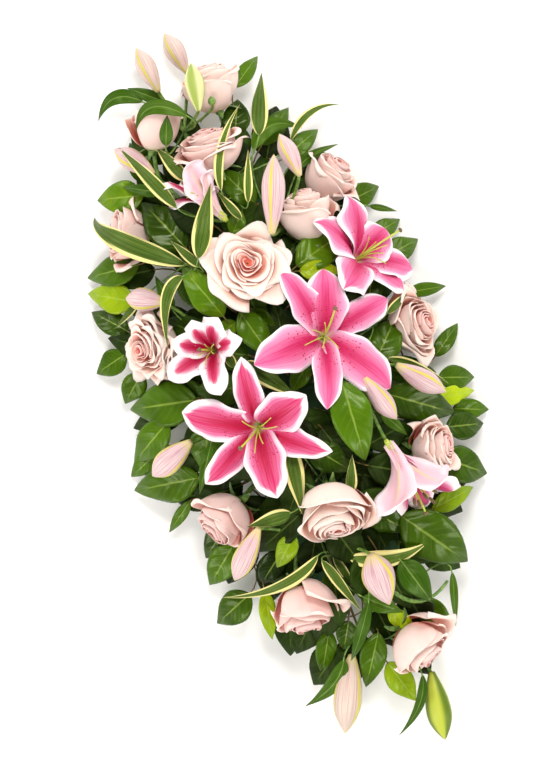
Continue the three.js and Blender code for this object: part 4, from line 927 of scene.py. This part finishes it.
def tepal_sheet(foot, axis, tip, throat, width, slim, tuck, phase):
    """A tepal: a cubic middle line up the trumpet, over its rim and out to the tip; half width rising
    as a sine to six tenths and closing to the tip; channelled low down, bent back above, edge waved.
    Its outline is as slim as a share says, and it is tucked by a length along the axis."""
    reach = tip - foot
    outward = unit(reach - axis * (reach @ axis))
    across = np.cross(axis, outward)
    start = foot + 5 * axis
    curve = [start, start + throat * axis + 5 * outward,
             start + 0.62 * (tip - start) + 0.42 * throat * axis, tip]
    u = ALONG_TEPAL
    s = np.linspace(-1, 1, 17)[None]
    t, edge = u[:, None], np.abs(s)
    middle, tangent = bezier(curve, u)
    up = unit(np.cross(tangent, across))
    rising = 0.22 + 0.78 * np.sin(math.pi / 2 * np.minimum(1, u / 0.6)) ** 1.4
    closing = 1 - (np.maximum(0, u - 0.6) / 0.4) ** 3.1
    ragged = 1 + 0.07 * np.sin(9 * u + phase) + 0.035 * np.sin(23 * u + 2 * phase)
    half = (width * rising * closing * ragged * slim + 0.25)[:, None]
    channel = edge ** 1.6 * half * lerp(0.6, -0.34, np.minimum(1, t / 0.75))
    groove = -1.5 * np.exp(-(s / 0.13) ** 2) * np.sin(math.pi * np.minimum(1, t * 1.1))
    ridge = 0.8 * np.exp(-((edge - 0.28) / 0.12) ** 2) * np.sin(math.pi * t)
    wave = (0.21 * width * edge ** 2.5 * np.sin(10.5 * t + 2.2 * s + phase)
            * np.sin(math.pi * t ** 1.5) ** 1.2)
    bend = -0.32 * np.linalg.norm(reach) * np.maximum(0, t - 0.78) ** 2 / 0.05
    lift = channel + groove + ridge + wave + bend * 0.35
    return (middle[:, None] + across * (s * half)[..., None] + up[:, None] * lift[..., None]
            + axis * tuck * np.sin(math.pi / 2 * np.minimum(1, t * 3))[..., None])


def lily(name, spec, seed):
    """A lily: its tepals, the outer ones slimmer and tucked in behind the inner ones, a green seat at
    its foot, and stamens and a pistil out of its throat. The pistil ends in a knob of three lobes, and
    a stamen in an anther where the lily shows them."""
    draw = np.random.default_rng(seed)
    foot, axis, tips = place_lily(spec)
    sheets = []
    for i, tip in enumerate(tips):
        inner = i in spec.get("inner", (0, 2, 4))
        slim, tuck = (1, 0) if inner else (spec.get("slim", 0.7), -2.5)
        sheets.append(tepal_sheet(foot, axis, tip, spec["throat"], spec["width"], slim, tuck,
                                  draw.uniform(0, 6)))
    bits = [blades(np.array(sheets), THICKNESS["tepal"], spec["margin"], along=ALONG_TEPAL)]
    seat = foot + axis * np.linspace(-0.5, 16, 7)[:, None]
    bits.append(rounded(seat, [2.2, 3.2, 3.8, 4.2, 4.4, 3.4, 0.6], 12, 1))
    start = foot + 12 * axis
    lean = start + 0.8 * spec["throat"] * axis
    for end in map(on_mound, spec["stamens"]):
        bits.append(tube([start, lean, end], 0.95, 12, 6, 1, taper=0.6))
        if "anthers" in spec:
            body = end + unit(end - lean) * np.linspace(-5, 7, 9)[:, None]
            bits.append(rounded(body, [0.3, 1.3, 1.8, 2, 2, 2, 1.8, 1.3, 0.3], 8, 2))
    pistil = on_mound(spec["pistil"])
    bits.append(tube([start, lean, pistil], 1.4, 14, 8, 1, taper=0.85))
    knob = pistil + unit(pistil - lean) * np.linspace(-2.2, 2.4, 7)[:, None]
    lobes = 1 + 0.18 * np.cos(3 * ring_angles(12))[None]
    bits.append(rounded(knob, np.array([0.9, 1.6, 2.5, 3, 2.8, 2, 0.4])[:, None] * lobes, 12, 2))
    petal = LILY_DEEP if "deep" in spec else LILY_LIGHT
    piece(name + "_bloom", bits, [petal, FILAMENT, STIGMA], [name])


def bud(name, base, tip, width, lime, fullest=0.58):
    """A closed bud: rings about its axis, fullest at a share of its length, with three ribs and seams
    between, and greener by its lime value."""
    base, tip = np.array((base, tip), float)
    u = np.linspace(0, 1, 25)
    path = base + (tip - base) * u[:, None]
    path[:, 2] += 0.02 * np.linalg.norm(tip - base) * np.sin(math.pi * u)
    rising = 0.24 + 0.76 * np.sin(math.pi / 2 * np.minimum(1, u / fullest))
    closing = np.cos(math.pi / 2 * np.maximum(0, u - fullest) / (1 - fullest)) ** 0.9
    angle = ring_angles(30)
    ribs = 1 + 0.045 * np.cos(3 * angle) + 0.03 * np.cos(6 * angle)
    radii = (0.46 * width * rising * closing + 0.15)[:, None] * ribs[None]
    piece(name + "_skin", [rounded(path, radii, 30, tone=lime)], [BUD_SKIN], [name])


def lily_stem(name, fork, carries, leaves, seed):
    """A lily's stem from its foot in the foam to its fork, where its leaves and the stalks of the blooms
    and buds that it carries spring. One stem carries the knob bud too."""
    draw = np.random.default_rng(seed)
    route = stem_curve(stem_foot(name), fork, (0, 0, 0.4))
    spring = bezier(route, [0.95])[0][0]
    bits = [tube(route, STEM_RADIUS["lily"], 18, 10, 1, taper=0.8)]
    for carried in carries:
        if carried in BUDS:
            seat, tip = np.array(BUDS[carried][:2], float)
            axis = unit(tip - seat)
        else:
            seat, axis, _ = place_lily(LILIES[carried])
        bits.append(tube(stalk_curve(spring, seat + 3 * axis, axis, 0.3), 2, 12, 8, 1))
    if name == KNOB_STEM:
        knob = lerp(*np.array(KNOB_BUD, float), np.linspace(0, 1, 9)[:, None])
        bits.append(tube(stalk_curve(spring, knob[0], (-0.9, 0.1, 0.3), 0.3), 1.6, 12, 8, 1))
        bits.append(rounded(knob, [0.6, 2.6, 4, 4.8, 5, 4.6, 3.8, 2.4, 0.4], 12, 1))
    for spec in leaves:
        bits += leaf_bits(spec, "strap", lambda place: spring, draw, 1.3)
    piece(name + "_green", bits, [LILY_LEAF, GREEN_STEM], [name])


# More leaves

def foam_point(place):
    """Where a stalk from a place goes into the foam: drawn in towards the middle of the bricks."""
    x = np.clip(0.6 * place[0], -212, 212)
    y = np.clip(0.3 * place[1], -42, 42)
    return np.array([x, y, FOAM_TOP - 6])


def foliage(name, specs, leaf, seed, more=()):
    """Broad leaves on stalks of their own, which spring from the foam, and more bits with them."""
    draw = np.random.default_rng(seed)
    bits = []
    for spec in specs:
        bits += leaf_bits(spec, "salal", foam_point, draw, 1.3)
    piece(name, [*bits, *more], [leaf, WOODY_STEM, GREEN_STEM])


def under_leaves(count, seed, reach, levels, tone):
    """Leaves within the mound: spread evenly over a share of its plan by the golden angle, pointing
    outwards, at levels that run from its middle to its edge. Their tones stay under tone, so that they
    are dark as painted shade in the gaps."""
    draw = np.random.default_rng(seed)
    specs = []
    for i in range(count):
        share = math.sqrt((i + 0.5) / count)
        turn = i * GOLDEN_ANGLE
        x = reach[0] * MOUND["half_length"] * share * math.cos(turn)
        y = reach[1] * MOUND["half_width"] * share * math.sin(turn)
        out = math.atan2(y * 3, x) + draw.uniform(-0.6, 0.6)
        length = draw.uniform(52, 72)
        level = lerp(*levels, share) + draw.uniform(-0.05, 0.05)
        specs.append((x, y, x + length * math.cos(out), y + length * math.sin(out),
                      draw.uniform(34, 46), level, draw.uniform(0, tone)))
    return specs


# The spray

for i, values in enumerate(ROSES):
    rose(i, *values)
for i, (name, spec) in enumerate(LILIES.items()):
    lily(name, spec, SEEDS["lily"] + i)
for name, values in BUDS.items():
    bud(name, *values)
for i, (name, values) in enumerate(LILY_STEMS.items()):
    lily_stem(name, *values, SEEDS["lily_stem"] + i)
for form, stems, finishes in (("salal", SALAL_STEMS, [SALAL_LEAF, WOODY_STEM]),
                              ("variegated", VARIEGATED_STEMS, [VARIEGATED_LEAF, GREEN_STEM])):
    for i, (name, values) in enumerate(stems.items()):
        leafy_stem(name, *values, form, finishes, form + "_leaf", SEEDS[form] + i)
foliage("extra_leaves", EXTRA_LEAVES, SALAL_LEAF, SEEDS["extra_leaves"],
        [tube(TWIG, 3.2, 16, 8, 2, taper=0.6)])
# The leaves within the mound wear the darker finish that paints the shade in the gaps.
foliage("under_leaves", sum([under_leaves(*layer) for layer in UNDER_LAYERS], []), SHADED_UNDER_LEAF,
        SEEDS["under_leaves"])

TRAY = moulded_finish("tray_plastic", 0.38, (34, 66, 44), 700, 0.0002)
TAPE = moulded_finish("anchor_tape", 0.32, (40, 96, 56), 300, 0.0003)
FOAM = moulded_finish("wet_foam", 0.9, (46, 84, 50), 1400, 0.0008)
KEPT_SOLIDS = {"tray": TRAY, "anchor_tape_a": TAPE, "anchor_tape_b": TAPE,
               "wet_foam_a": FOAM, "wet_foam_b": FOAM}
for node, look in KEPT_SOLIDS.items():
    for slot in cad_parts[node].material_slots:
        slot.material = look


# Floor, light and camera

def plain_floor():
    """The white paper that the spray lies on, in metres."""
    mesh = bpy.data.meshes.new("floor")
    x, y, z = FLOOR_CORNER
    mesh.from_pydata([(-x, -y, z), (x, -y, z), (x, y, z), (-x, y, z)], [], [(0, 1, 2, 3)])
    n = Nodes("floor_paper", Roughness=0.9)
    paper = n.mix(n.cloud(3, 2), (0.94, 0.94, 0.94, 1), (0.96, 0.96, 0.96, 1))
    n.tree.links.new(paper, n.shader.inputs["Base Color"])
    mesh.materials.append(n.material)
    floor = into_scene("floor", mesh)


def matrix_of(right, up, back, place):
    """The world matrix of an object with these three axes at a place."""
    return Matrix([[right[k], up[k], back[k], place[k]] for k in range(3)] + [[0, 0, 0, 1]])


def area_light(name, place, size, power):
    """A warm round light that faces the middle of the spray."""
    data = bpy.data.lights.new(name, "AREA")
    data.shape = "DISK"
    data.size = size
    data.energy = power
    data.color = (1, 0.97, 0.93)
    away = unit(np.subtract(place, LIGHTS_AIM))
    side = unit(np.cross((0.2, 0.9, 0.1), away))
    into_scene(name, data).matrix_world = matrix_of(side, np.cross(away, side), away, place)


def studio():
    """A warm sky whose strength changes with height, the lights, and the camera above the spray."""
    world = bpy.data.worlds.new("studio")
    bpy.context.scene.world = world
    world.use_nodes = True
    tree = world.node_tree
    background = tree.nodes["Background"]
    background.inputs["Color"].default_value = (1, 0.98, 0.95, 1)
    direction = tree.nodes.new("ShaderNodeTexCoord")
    split = tree.nodes.new("ShaderNodeSeparateXYZ")
    sky = tree.nodes.new("ShaderNodeMapRange")
    tree.links.new(direction.outputs["Generated"], split.inputs[0])
    tree.links.new(split.outputs[2], sky.inputs[0])
    for k, value in enumerate(SKY, 1):
        sky.inputs[k].default_value = value
    tree.links.new(sky.outputs[0], background.inputs["Strength"])
    for name, values in LIGHTS.items():
        area_light(name, *values)
    data = bpy.data.cameras.new("from_above")
    data.lens = VIEW_LENS
    data.clip_end = 50
    camera = into_scene("from_above", data)
    camera.matrix_world = matrix_of(VIEW_RIGHT, VIEW_UP, (0, 0, 1), (*VIEW_CENTRE, VIEW_HEIGHT))
    bpy.context.scene.camera = camera
    bpy.context.scene.view_settings.view_transform = "Standard"


plain_floor()
studio()
